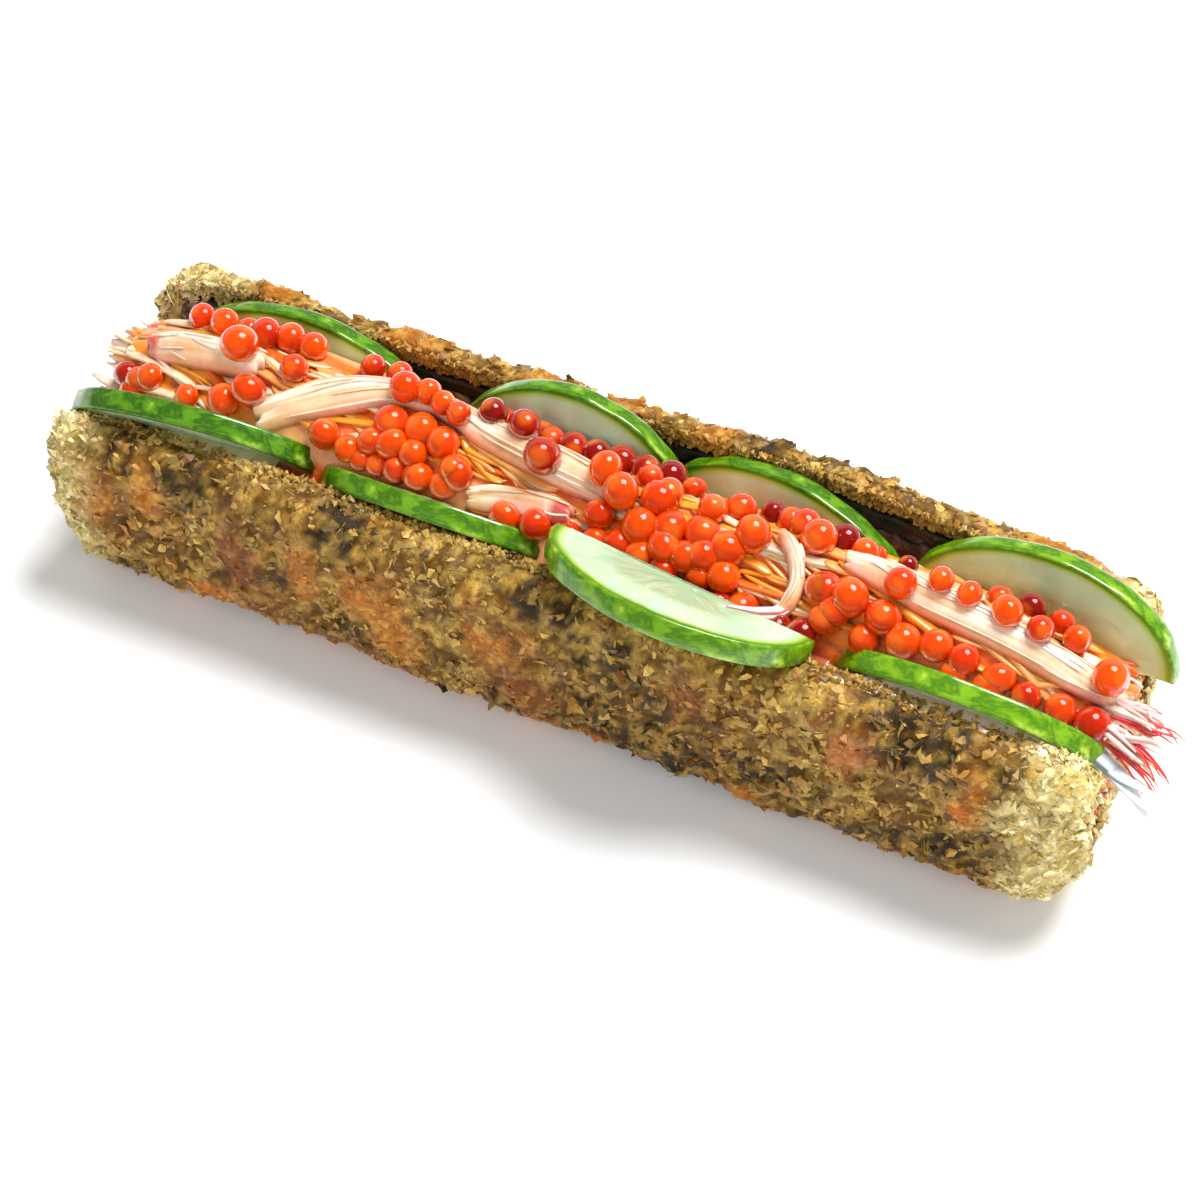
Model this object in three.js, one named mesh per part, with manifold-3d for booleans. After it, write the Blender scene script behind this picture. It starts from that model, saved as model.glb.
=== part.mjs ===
// A sushi hot dog: a long trough of rice wrapped in nori, fried in a panko crust,
// and filled with cucumber half moons, shredded crab sticks and salmon roe.
// Millimetres, +X along the trough, the near wall at -Y, +Z up, the floor at z = 0.

import * as THREE from 'three';
import { mergeVertices } from 'three/addons/utils/BufferGeometryUtils.js';
import Module from 'manifold-3d';

const wasm = await Module();
wasm.setup();

// Driving dimensions of the trough
const LENGTH = 195;
const NEAR_SIDE = -25.2;
const FAR_SIDE = 25;
const NEAR_RIM = 37.4;
const FAR_RIM = 39.2;
const FAR_HUMP = { at: 31, reach: 31, height: 3.3 };
const FAR_THICK = 1.4;
const BOTTOM_CORNER = 12.5;
const RIM_RADIUS = 5.8;
const LAYER_GAP = 0.35;

// Thickness of the layers, and the open channel between the walls
const CRUST = 2.8;
const NORI = 0.6;
const WALL = 6.1;
const CHANNEL_FLOOR = 12;
const CHANNEL_CORNER = 9;
const COVERED_LENGTH = 185;
const SKEW = { shift: -0.2, far: -2.3 };
const NORI_LIP = 3.4;

// Rounding of the two ends, left then right
const END_FACE = 1.5;
const ENDS = {
  left: { plan: 7, base: 10, nearRim: 8, farRim: 9, nearDrop: 2.5, farDrop: 4.5 },
  right: { plan: 6, base: 17, nearRim: 6, farRim: 10, nearDrop: 1, farDrop: 4 },
};
const END_SLOPE = 24;

// Relief of the panko crust
const CRAG = 0.75;
const LUMP = 0.55;
const FLAKES = 38;
const FLAKE_SIZE = 1.7;
const CRUST_SEED = 11;
const CRUST_STEP = 6.3;

// Cucumber half moons: place of the middle of the cut edge, and how each one leans
const MOON_HEIGHT = 18;
const FAR_MOON = 3.6;
const NEAR_MOON = 3.9;
const MOONS = {
  cucumber_far_1: { at: [-63.2, 10.6, 24.9], half: 28, lean: 15, yaw: 1.7, roll: 5.6 },
  cucumber_far_2: { at: [-9.5, 9.6, 29.6], half: 22.8, lean: 15, yaw: 0.9, roll: 9.8 },
  cucumber_far_3: { at: [30.1, 10.4, 25.2], half: 26.5, lean: 15, yaw: -8, roll: 3.5 },
  cucumber_far_4: { at: [76.6, 11, 30.5], half: 24.2, height: 15.7, lean: 15, yaw: -4.1, roll: -2.4 },
  cucumber_near_1: { at: [-74, -9.6, 29.9], half: 24, height: 16.6, lean: -31, yaw: 6.6, roll: 1.9 },
  cucumber_near_2: { at: [-27.2, -7.4, 29.3], half: 22.4, height: 14.8, lean: -40, yaw: 0.7, roll: -0.2 },
  cucumber_near_3: { at: [21.6, -13.1, 38.6], half: 24.5, lean: -62, yaw: -9.4, roll: 5.4 },
  cucumber_near_4: { at: [72, -9, 28.6], half: 24, height: 15.2, lean: -29, yaw: -1.5, roll: -0.3 },
};

// The bundle of shredded crab that fills the channel
const CORE_CREST = 42;
const CORE_MIDDLE = 1;
const CORE_DROP = { near: 8.5, far: 15 };
const CORE_HALF = { near: 13.5, far: 16.2 };
const FAR_STEEPNESS = { left: 3.5, right: 2, from: -42, to: -24 };
const CORE_END = 93.6;
const CORE_FLAT = 67;
const CORE_END_DROP = { left: 10, right: 5.5 };
const FIBRE_PITCH = 9;
const FIBRE_DEPTH = 0.45;
const FINENESS = 0.18;

// Crab strips laid along the bundle: middle line in plan, width and thickness
const STRIP_GAP = 0.8;
const STRIPS = {
  crab_strip_left: { path: [[-89.4, 0], [-82, -0.3], [-74, -0.5], [-65.5, 0]], width: 5.4, thick: 2.4 },
  crab_strip_long: {
    path: [[-63, -8], [-56, -3.8], [-48, 0.8], [-40, 4.4], [-31, 4.8], [-22, 2.2], [-12, 0.8], [-4, -0.4],
      [3, -1.6]],
    width: 6.2,
    thick: 2.6,
  },
  crab_strip_low: { path: [[-21, -8.4], [-14, -7.2], [-8, -6.7], [-2, -6.6]], width: 3.2, thick: 2 },
  crab_strip_loop: { path: [[33.5, 0.8], [37.3, -2.4], [39, -6.4], [38, -10]], width: 2.7, thick: 2.4 },
  crab_strip_right: {
    path: [[45, 0.8], [52, 0.2], [61, -1], [72, -2], [84, -2.8], [94, -3.2]],
    width: 5,
    thick: 2.4,
  },
};

// Shreds that stick out of the right end
const SHRED_THICK = 1.3;
const SHRED_DROOP = 5;
const SHREDS = [
  { from: [92, -2, 31], to: [101.5, -6, 34], width: 2.6 },
  { from: [92, -4.6, 30], to: [105, -9, 32], width: 2.4 },
  { from: [92, 2, 31], to: [102.5, -2.5, 35], width: 2.8 },
  { from: [92, -5, 33], to: [105, -12, 32.4], width: 3.4 },
];

// Salmon roe, in short drifts: ends of the drift in plan, number of eggs and how large they are
const EGG = 3;
const EGG_SPREAD = 0.08;
const EGG_STRAY = 0.35;
const EGG_PASSES = 30;
const EGG_SINK = 0.42;
const EGG_PILE = 0.8;
const EGG_TOUCH = 0.76;
const EGG_LIFT = 1.3;
const EGG_PULL = 0.25;
const EGG_CLEAR = 0.3;
const EGG_ROOM = 0.42;
const EGG_REACH = 92.5;
const EGG_SEED = 5;
const DRIFTS = [
  { from: [-83.5, 8.4], to: [-78, 7.8], count: 2, size: 0.9 },
  { from: [-69, 7.4], to: [-60.5, 8.8], count: 3, size: 0.92 },
  { from: [-48.5, 8.8], to: [-43.5, 8.6], count: 2, size: 0.85 },
  { from: [-69.5, -0.5], to: [-69.5, -0.5], count: 1, size: 1.18 },
  { from: [-60.5, 0.5], to: [-60.5, 0.5], count: 1, size: 0.87 },
  { from: [-66, -5], to: [-70, -7.4], count: 2, size: 1 },
  { from: [-90.5, -4], to: [-86, -4.4], count: 2, size: 0.87 },
  { from: [-89.5, -7.4], to: [-89.5, -7.4], count: 1, size: 0.8 },
  { from: [-77, -8], to: [-77, -8], count: 1, size: 0.78 },
  { from: [-53, -8], to: [-46.5, -7.6], count: 2, size: 0.9 },
  { from: [-45, -4], to: [-39, -3.4], count: 2, size: 1.03 },
  { from: [-38, 1.6], to: [-38, 1.6], count: 1, size: 1.08 },
  { from: [-34.5, 3.4], to: [-28, 1.2], count: 3, size: 0.8 },
  { from: [-32, -2.2], to: [-25.5, -3.6], count: 2, size: 1 },
  { from: [-41.5, -7], to: [-36.5, -7.4], count: 2, size: 0.88 },
  { from: [-33.6, -5.6], to: [-28, -6.6], count: 2, size: 0.9 },
  { from: [-41.5, -9.6], to: [-34.5, -9.6], count: 3, size: 0.75 },
  { from: [-29, -10], to: [-20, -9.4], count: 3, size: 0.8 },
  { from: [-17.5, -5], to: [-10.5, -2.4], count: 2, size: 1.1 },
  { from: [1, -6.6], to: [1, -6.6], count: 1, size: 0.9 },
  { from: [-22.5, 4.6], to: [-16, 4], count: 2, size: 0.95 },
  { from: [-12, 7.2], to: [-4, 7.4], count: 3, size: 0.87 },
  { from: [0.5, 7.6], to: [9.5, 7.4], count: 3, size: 0.98 },
  { from: [8, 4.6], to: [15, 6.6], count: 2, size: 0.8 },
  { from: [2.6, -1], to: [2.6, -1], count: 1, size: 0.93 },
  { from: [9, -2.6], to: [13.6, -4.4], count: 2, size: 1 },
  { from: [5, -8.4], to: [11.5, -8.8], count: 2, size: 1.12 },
  { from: [0.5, -10], to: [0.5, -10], count: 1, size: 0.93 },
  { from: [7.5, -10.8], to: [16.5, -11.4], count: 3, size: 0.92 },
  { from: [19, -6], to: [20.5, -9.2], count: 2, size: 1.04 },
  { from: [21, 0.5], to: [24.5, 4.4], count: 2, size: 0.9 },
  { from: [26, -3], to: [30, -1], count: 2, size: 1.06 },
  { from: [26.5, -9], to: [31, -11], count: 2, size: 1.03 },
  { from: [23.5, -12], to: [27.5, -12.4], count: 2, size: 0.87 },
  { from: [29.5, 6.4], to: [29.5, 6.4], count: 1, size: 0.8 },
  { from: [36, 3.6], to: [42.5, 6], count: 2, size: 1 },
  { from: [42, -0.4], to: [43, -5], count: 2, size: 1 },
  { from: [42, -9], to: [40, -12], count: 2, size: 1.04 },
  { from: [48, -5], to: [52, -6.4], count: 2, size: 1.03 },
  { from: [50, -1], to: [55, -2.2], count: 2, size: 0.9 },
  { from: [47.6, -10.6], to: [47.6, -10.6], count: 1, size: 0.93 },
  { from: [57.4, -8], to: [57.4, -8], count: 1, size: 1 },
  { from: [49, 5], to: [54.5, 4.6], count: 2, size: 0.62 },
  { from: [61.5, 1.4], to: [66.5, 0.8], count: 2, size: 0.75 },
  { from: [73.5, 0.8], to: [85, 0.2], count: 3, size: 0.87 },
  { from: [76, 6.4], to: [76, 6.4], count: 1, size: 0.8 },
  { from: [64, -6.8], to: [86.5, -7.8], count: 5, size: 0.95 },
  { from: [92.4, -2.6], to: [92.4, -7.6], count: 2, size: 1.1 },
];

// Rice grains that show under the rim of the far wall
const GRAIN = { length: 5.4, width: 2.3 };
const GRAINS = 30;
const GRAIN_CLEAR = 2.3;
const GRAIN_SEED = 23;

const COLOURS = {
  crust: 0xa9935a,
  nori: 0x17160f,
  rice: 0x8b7a6c,
  cucumber: 0x86b63a,
  crab: 0xf0cdb4,
  filling: 0xe8762e,
};

// A repeatable stream of numbers from 0 to 1
function stream(seed) {
  let state = seed;
  return () => {
    state = (state + 0x6d2b79f5) | 0;
    let mixed = Math.imul(state ^ (state >>> 15), 1 | state);
    mixed = (mixed + Math.imul(mixed ^ (mixed >>> 7), 61 | mixed)) ^ mixed;
    return ((mixed ^ (mixed >>> 14)) >>> 0) / 4294967296;
  };
}

const radians = THREE.MathUtils.degToRad;
const lerp = THREE.MathUtils.lerp;
const clamp = THREE.MathUtils.clamp;

// How far a rounded edge of this radius has fallen away at a distance from the end
function rounding(distance, radius) {
  const reach = clamp(radius - distance, 0, radius);
  return radius - Math.sqrt(radius * radius - reach * reach);
}

// Height of the far rim, in straight stretches between the layers' sections, with one hump
function farCrest(x) {
  const after = LAYER_STATIONS.findIndex((place) => place > x);
  const [from, to] = after > 0 ? [LAYER_STATIONS[after - 1], LAYER_STATIONS[after]] : [x, x + 1];
  const hump = (place) => FAR_HUMP.height * Math.exp(-(((place - FAR_HUMP.at) / FAR_HUMP.reach) ** 2));
  return FAR_RIM + lerp(hump(from), hump(to), clamp((x - from) / (to - from), 0, 1));
}

// Height of the far top of a layer that lies this deep in the crust
function farTop(x, inset) {
  return shapeAt(x).farRim - FAR_THICK * inset;
}

// The trough's outer sides, floor and rims at a place along its length
function shapeAt(x) {
  const end = x < 0 ? ENDS.left : ENDS.right;
  const distance = LENGTH / 2 - Math.abs(x) + END_FACE;
  const slope = (1 - clamp(distance / END_SLOPE, 0, 1)) ** 2;
  const plan = rounding(distance, end.plan);
  return {
    near: NEAR_SIDE + plan,
    far: FAR_SIDE - plan,
    base: rounding(distance, end.base),
    nearRim: NEAR_RIM - rounding(distance, end.nearRim) - end.nearDrop * slope,
    farRim: farCrest(x) - rounding(distance, end.farRim) - end.farDrop * slope,
  };
}

// Points of an arc, as [y, z, outward y, outward z]
function arc(centreY, centreZ, radius, start, stop, steps) {
  const points = [];
  for (let i = 0; i <= steps; i += 1) {
    const angle = radians(lerp(start, stop, i / steps));
    const [c, s] = [Math.cos(angle), Math.sin(angle)];
    points.push([centreY + radius * c, centreZ + radius * s, c, s]);
  }
  return points;
}

// The outer line of the trough's section, inset by the layers outside it, from rim to rim
function wallLine(x, inset, steps) {
  const shape = shapeAt(x);
  const rim = RIM_RADIUS - inset;
  const corner = BOTTOM_CORNER - inset;
  const near = shape.near + inset;
  const far = shape.far - inset;
  const base = shape.base + inset;
  const nearTop = shape.nearRim - inset;
  const farEdge = farTop(x, inset);
  const line = arc(near + rim, nearTop - rim, rim, 90, 180, steps.rim);
  for (let i = 1; i < steps.side; i += 1) {
    line.push([near, lerp(nearTop - rim, base + corner, i / steps.side), -1, 0]);
  }
  line.push(...arc(near + corner, base + corner, corner, 180, 270, steps.corner));
  line.push(...arc(far - corner, base + corner, corner, 270, 360, steps.corner));
  for (let i = 1; i < steps.side; i += 1) {
    line.push([far, lerp(base + corner, farEdge - rim, i / steps.side), 1, 0]);
  }
  line.push(...arc(far - rim, farEdge - rim, rim, 0, 90, steps.rim));
  return line;
}

// The line of the open channel, from the near rim down, across and up to the far rim
function channelLine(x, inset, steps) {
  const near = NEAR_SIDE + WALL + inset;
  const far = FAR_SIDE - WALL - inset;
  const floor = Math.max(CHANNEL_FLOOR, shapeAt(x).base + CRUST + 2) + inset;
  const corner = CHANNEL_CORNER - inset;
  const top = channelTop(x);
  const line = [];
  for (let i = 0; i < steps.side; i += 1) {
    line.push([near, lerp(top.near, floor + corner, i / steps.side)]);
  }
  line.push(...arc(near + corner, floor + corner, corner, 180, 270, steps.corner));
  line.push(...arc(far - corner, floor + corner, corner, 270, 360, steps.corner));
  for (let i = steps.side - 1; i >= 0; i -= 1) {
    line.push([far, lerp(top.far, floor + corner, i / steps.side)]);
  }
  return line;
}

// Heights at which the walls of the channel end, under the rims
function channelTop(x) {
  const shape = shapeAt(x);
  return { near: shape.nearRim - CRUST - NORI - 2 * LAYER_GAP, far: farTop(x, CRUST) - NORI_LIP - LAYER_GAP };
}

// Places along the trough, closer together towards both ends
function stations(count, half) {
  const list = [];
  for (let i = 0; i < count; i += 1) {
    const t = lerp(-1, 1, i / (count - 1));
    list.push(half * (0.72 * t + 0.28 * Math.sin(t * Math.PI / 2)));
  }
  return list;
}

// Places of the layers' sections, close together where the ends round off
const LAYER_STEPS = { rim: 2, side: 1, corner: 2 };
const LAYER_PLACES = [0.13, 0.38, 0.63, 0.82, 0.9, 0.955, 1].map((t) => t * COVERED_LENGTH / 2);
const LAYER_STATIONS = [...LAYER_PLACES.map((x) => -x).reverse(), ...LAYER_PLACES];

// The same places with more between them, no further apart than a step
function finer(places, step) {
  const list = [places[0]];
  for (let i = 1; i < places.length; i += 1) {
    const parts = Math.ceil((places[i] - places[i - 1]) / step);
    for (let k = 1; k <= parts; k += 1) list.push(lerp(places[i - 1], places[i], k / parts));
  }
  return list;
}

// The trough is a little askew: its far wall lies further to the left
function askew(x, y, z) {
  return new THREE.Vector3(x + SKEW.shift + (SKEW.far * (y - NEAR_SIDE)) / (FAR_SIDE - NEAR_SIDE), y, z);
}

// A closed skin over rings of points, all with the same count, with a cap at each end
function skin(rings) {
  const count = rings[0].length;
  const positions = rings.flat().flatMap((p) => [p.x, p.y, p.z]);
  const index = [];
  for (let r = 0; r + 1 < rings.length; r += 1) {
    for (let i = 0; i < count; i += 1) {
      const j = (i + 1) % count;
      const [a, b, c, d] = [r * count + i, r * count + j, (r + 1) * count + i, (r + 1) * count + j];
      index.push(a, b, c, b, d, c);
    }
  }
  const last = (rings.length - 1) * count;
  for (const [a, b, c] of capFaces(rings[0])) index.push(a, c, b);
  for (const [a, b, c] of capFaces(rings[rings.length - 1])) index.push(last + a, last + b, last + c);
  const geometry = new THREE.BufferGeometry();
  geometry.setAttribute('position', new THREE.Float32BufferAttribute(positions, 3));
  geometry.setIndex(index);
  return geometry;
}

// Triangles across a flat ring, turning the way that its points do
function capFaces(ring) {
  const middle = ring.reduce((sum, p) => sum.add(p), new THREE.Vector3()).divideScalar(ring.length);
  const normal = new THREE.Vector3();
  ring.forEach((p, i) => {
    const next = ring[(i + 1) % ring.length];
    normal.add(p.clone().sub(middle).cross(next.clone().sub(middle)));
  });
  normal.normalize();
  const across = ring[1].clone().sub(ring[0]).projectOnPlane(normal).normalize();
  const up = normal.clone().cross(across);
  const flat = ring.map((p) => new THREE.Vector2(p.dot(across), p.dot(up)));
  const faces = THREE.ShapeUtils.triangulateShape(flat, []);
  const turn = faces.reduce((sum, [a, b, c]) => (
    sum + flat[b].clone().sub(flat[a]).cross(flat[c].clone().sub(flat[a]))), 0);
  return turn > 0 ? faces : faces.map(([a, b, c]) => [a, c, b]);
}

// Booleans: a closed geometry as a solid, and a solid as a geometry
function solid(geometry) {
  const bare = geometry.clone();
  bare.deleteAttribute('normal');
  bare.deleteAttribute('uv');
  const merged = mergeVertices(bare, 1e-4);
  return new wasm.Manifold(new wasm.Mesh({
    numProp: 3,
    vertProperties: new Float32Array(merged.attributes.position.array),
    triVerts: new Uint32Array(merged.index.array),
  }));
}

function surface(body) {
  const mesh = body.getMesh();
  const geometry = new THREE.BufferGeometry();
  geometry.setAttribute('position', new THREE.Float32BufferAttribute(mesh.vertProperties, 3));
  geometry.setIndex(Array.from(mesh.triVerts));
  return geometry;
}

// The largest body of a solid, without loose scraps
function largest(body) {
  return body.decompose().sort((a, b) => b.volume() - a.volume())[0];
}

function fuse(base, pieces) {
  let body = solid(base);
  for (const piece of pieces) body = body.add(solid(piece));
  return largest(body);
}

// The fried crust: a U of uneven thickness that wraps the rims and both ends
function crustGeometry() {
  const random = stream(CRUST_SEED);
  const steps = { rim: 4, side: 4, corner: 3 };
  const covered = COVERED_LENGTH / 2 + LAYER_GAP;
  const beyond = [covered, covered + 0.4, CORE_END + LAYER_GAP, LENGTH / 2 - 0.7, LENGTH / 2];
  const places = [...beyond, ...beyond.map((x) => -x), ...finer(LAYER_STATIONS, CRUST_STEP)];
  places.sort((a, b) => a - b);
  const rings = places.map((x) => {
    const outer = wallLine(x, 0, steps).map((p, i, all) => roughPoint(x, p, i, all.length, random));
    const inner = Math.abs(x) <= covered + 1e-6
      ? wallLine(x, CRUST, LAYER_STEPS)
      : channelLine(x, 0, { side: 3, corner: 2 });
    return [...outer, ...inner.reverse().map(([y, z]) => askew(x, y, z))];
  });
  return surface(fuse(skin(rings), crustFlakes(random)));
}

// A point of the crust's outer face, moved by lumps and crags but flat where it rests
function roughPoint(x, [y, z, outY, outZ], i, count, random) {
  const draw = random() - 0.35;
  if (z < 0.01) return askew(x, y, z);
  const fromTip = Math.min(i, count - 1 - i);
  const strength = fromTip === 0 ? 0 : Math.min(1, fromTip / 3);
  const lump = LUMP * (Math.sin(x / 5.3 + y / 7) * Math.sin(z / 6.1 + x / 13) + 0.4);
  const push = strength * (CRAG * draw + lump);
  const alongEnd = Math.abs(x) > LENGTH / 2 - 1 ? -Math.sign(x) * 0.8 * random() : 0;
  return askew(x + alongEnd, y + push * outY, Math.max(z + push * outZ, 0.25));
}

// Larger crumbs that stand out of the walls and the rims
function crustFlakes(random) {
  const steps = { rim: 8, side: 10, corner: 8 };
  const flakes = [];
  for (let i = 0; i < FLAKES; i += 1) {
    const x = lerp(-0.97, 0.97, (i + random()) / FLAKES) * LENGTH / 2;
    const line = wallLine(x, 0, steps);
    const spot = line[2 + Math.floor(random() * (line.length - 4))];
    const size = FLAKE_SIZE * lerp(0.7, 1.5, random());
    const flake = new THREE.OctahedronGeometry(size, 0);
    flake.scale(1, 0.65, 1);
    flake.rotateY(random() * Math.PI);
    flake.rotateX(Math.atan2(spot[3], spot[2]) + lerp(-0.5, 0.5, random()));
    const lift = 0.2;
    flake.translate(...askew(x, spot[0] + lift * spot[2], spot[1] + lift * spot[3]));
    if (spot[1] > size + 1 && spot[3] < 0.94) flakes.push(flake);
  }
  return flakes;
}

// The nori sheet, a thin U under the crust, with a lip folded down inside the far rim
function noriGeometry() {
  const outside = CRUST + LAYER_GAP;
  const rings = LAYER_STATIONS.map((x) => {
    const shape = shapeAt(x);
    const lipTop = farTop(x, outside) - 0.3;
    const lipFoot = farTop(x, outside) - NORI_LIP;
    const lipSide = shape.far - RIM_RADIUS;
    const outer = wallLine(x, outside, LAYER_STEPS);
    const inner = wallLine(x, outside + NORI, LAYER_STEPS);
    const lip = [
      [lipSide - NORI, lipTop],
      [lipSide - NORI, lipFoot],
      [lipSide, lipFoot],
    ];
    return [...outer, ...lip, ...inner.reverse()].map(([y, z]) => askew(x, y, z));
  });
  return skin(rings);
}

// The bed of rice, from under the nori to the channel, with whole grains along its far face
function riceGeometry() {
  const outside = CRUST + NORI + 2 * LAYER_GAP;
  const rings = LAYER_STATIONS.map((x) => {
    const outer = wallLine(x, outside, LAYER_STEPS);
    const shape = shapeAt(x);
    const behindLip = shape.far - RIM_RADIUS + LAYER_GAP;
    outer.pop();
    outer.push([behindLip, farTop(x, outside) - 0.1]);
    const footLine = farTop(x, CRUST + LAYER_GAP) - NORI_LIP - 2 * LAYER_GAP;
    const underLip = [[behindLip, footLine]];
    const channel = channelLine(x, 0, { side: 2, corner: 2 }).reverse();
    channel[0][1] = footLine - 0.2;
    return [...outer, ...underLip, ...channel].map(([y, z]) => askew(x, y, z));
  });
  return surface(fuse(skin(rings), riceGrains()));
}

// Grains half sunk in the upper part of the rice, clear of the cucumber
function riceGrains() {
  const random = stream(GRAIN_SEED);
  const grains = [];
  const face = FAR_SIDE - WALL;
  for (let i = 0; i < GRAINS; i += 1) {
    const x = lerp(-0.92, 0.92, (i + random()) / GRAINS) * LENGTH / 2;
    const tilt = (random() - 0.5) * 1.6;
    const rise = GRAIN.width / 2 + (GRAIN.length / 2 - GRAIN.width / 2) * Math.abs(Math.sin(tilt));
    const low = coreHeight(x, face) + GRAIN_CLEAR + rise;
    const high = channelTop(x).far - rise - LAYER_GAP;
    const centre = askew(x, face + 0.2, lerp(low, high, random()));
    if (low > high || moonNear(centre, GRAIN.length / 2 + LAYER_GAP)) continue;
    const grain = new THREE.IcosahedronGeometry(1, 0);
    grain.scale(GRAIN.length / 2, GRAIN.width / 2, GRAIN.width / 2);
    grain.rotateY(tilt);
    grain.translate(centre.x, centre.y, centre.z);
    grains.push(grain);
  }
  return grains;
}

// The turn and place of a cucumber half moon
function moonMatrix(moon) {
  const turn = new THREE.Matrix4().makeRotationZ(radians(moon.yaw))
    .multiply(new THREE.Matrix4().makeRotationX(radians(-moon.lean)))
    .multiply(new THREE.Matrix4().makeRotationY(radians(moon.roll)));
  return turn.setPosition(...moon.at);
}

function moonThickness(name) {
  return name.includes('far') ? FAR_MOON : NEAR_MOON;
}

function moonHeight(moon) {
  return moon.height ?? MOON_HEIGHT;
}

// A half moon of cucumber: half an ellipse with a slightly rounded edge, grown by a margin
function moonGeometry(name, margin = 0, segments = 8) {
  const moon = MOONS[name];
  const thickness = moonThickness(name) + 2 * margin;
  const bevel = margin > 0 ? 0 : 0.5;
  const half = moon.half + margin - bevel;
  const rise = moonHeight(moon) + margin - 2 * bevel;
  const foot = bevel - margin;
  const outline = new THREE.Shape();
  outline.moveTo(half, foot);
  outline.lineTo(half, Math.max(foot, 0));
  outline.absellipse(0, Math.max(foot, 0), half, rise, 0, Math.PI, false, 0);
  outline.lineTo(-half, foot);
  const geometry = new THREE.ExtrudeGeometry(outline, {
    depth: thickness - 2 * bevel,
    curveSegments: segments,
    bevelEnabled: bevel > 0,
    bevelThickness: bevel,
    bevelSize: bevel,
    bevelSegments: 1,
  });
  geometry.translate(0, 0, -thickness / 2 + bevel);
  geometry.rotateX(Math.PI / 2);
  geometry.applyMatrix4(moonMatrix(moon));
  return geometry;
}

// Whether a point is closer than a distance to any half moon
function moonNear(point, distance) {
  return Object.keys(MOONS).some((name) => moonDepth(name, point, distance) > 0);
}

// How deep a ball at a point reaches into a half moon, measured across its faces
function moonDepth(name, point, radius) {
  const moon = MOONS[name];
  const local = point.clone().applyMatrix4(moonMatrix(moon).invert());
  const across = moonThickness(name) / 2 + radius - Math.abs(local.y);
  const inside = (local.x / (moon.half + radius)) ** 2 + (local.z / (moonHeight(moon) + radius)) ** 2 < 1;
  return inside && local.z > -radius ? Math.max(across, 0) : 0;
}

// Height of the bundle of crab at a place in plan, with ribs along its fibres
function coreHeight(x, y) {
  const nearward = (CORE_MIDDLE - y) / CORE_HALF.near;
  const farward = (y - CORE_MIDDLE) / CORE_HALF.far;
  const endDrop = x < 0 ? CORE_END_DROP.left : CORE_END_DROP.right;
  const end = clamp((Math.abs(x) - CORE_FLAT) / (LENGTH / 2 - CORE_FLAT), 0, 1);
  const fibres = FIBRE_DEPTH * Math.sin(2 * Math.PI * (y + 1.1 * Math.sin(x / 17)) / FIBRE_PITCH);
  const turn = clamp((x - FAR_STEEPNESS.from) / (FAR_STEEPNESS.to - FAR_STEEPNESS.from), 0, 1);
  const steepness = lerp(FAR_STEEPNESS.left, FAR_STEEPNESS.right, turn);
  const fall = y < CORE_MIDDLE
    ? CORE_DROP.near * (2 * nearward * nearward) / (1 + nearward * nearward)
    : CORE_DROP.far * farward ** steepness;
  return CORE_CREST - fall - endDrop * end * end + fibres + 0.5 * Math.sin(x / 22);
}

// Where the bundle meets a wall of the channel, between two points of the wall
function wallPlace(x, high, low) {
  const share = (coreHeight(x, high[0]) - low[1]) / (high[1] - low[1]);
  return lerp(low[0], high[0], clamp(share, 0, 1));
}

// The bare bundle: the channel filled up to its crown
function coreGeometry() {
  const topSteps = 8;
  const rings = stations(15, CORE_END).map((x) => {
    const channel = channelLine(x, LAYER_GAP, { side: 1, corner: 2 });
    const near = wallPlace(x, channel[0], channel[1]);
    const far = wallPlace(x, channel[channel.length - 1], channel[channel.length - 2]);
    const top = [];
    for (let i = 0; i <= topSteps; i += 1) {
      const y = lerp(far, near, i / topSteps);
      top.push([y, Math.max(coreHeight(x, y), CHANNEL_FLOOR + CHANNEL_CORNER + 1)]);
    }
    return [...channel.slice(1, -1), ...top].map(([y, z]) => askew(x, y, z));
  });
  return skin(rings);
}

// The space that a half moon takes, and the narrow one behind it up to the wall
function moonRoom(name) {
  const margin = 2 * LAYER_GAP;
  const outward = name.includes('far') ? 6 : -6;
  const behind = moonGeometry(name, margin, 6);
  behind.translate(0, outward, 2);
  return wasm.Manifold.hull([solid(moonGeometry(name, margin, 6)), solid(behind)]);
}

// The middle line of a strip as a smooth curve in plan
function stripCurve(strip) {
  return new THREE.CatmullRomCurve3(strip.path.map(([x, y]) => new THREE.Vector3(x, y, 0)));
}

// A strip of crab draped on the bundle, with ribs along its top
function stripGeometry(strip) {
  const curve = stripCurve(strip);
  const steps = Math.max(6, Math.round(curve.getLength() / 7));
  const lanes = [-1, -0.6, -0.2, 0.2, 0.6, 1];
  const rings = [];
  for (let i = 0; i <= steps; i += 1) {
    const t = i / steps;
    const middle = curve.getPoint(t);
    const along = curve.getTangent(t);
    const half = (strip.width / 2) * stripTaper(t);
    const place = (lane) => [middle.x - along.y * half * lane, middle.y + along.x * half * lane];
    const foot = lanes.map((lane) => {
      const [x, y] = place(lane);
      return new THREE.Vector3(x, y, coreHeight(x, y) + STRIP_GAP);
    });
    const top = lanes.map((lane, k) => {
      const [x, y] = place(lane * 0.9);
      return new THREE.Vector3(x, y, coreHeight(x, y) + STRIP_GAP + strip.thick * stripCrown(lane, k, t));
    });
    rings.push([...foot, ...top.reverse()]);
  }
  return skin(rings);
}

// A strip narrows a little towards its two torn ends
function stripTaper(t) {
  return 0.45 + 0.55 * Math.min(1, 6 * t, 6 * (1 - t));
}

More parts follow.
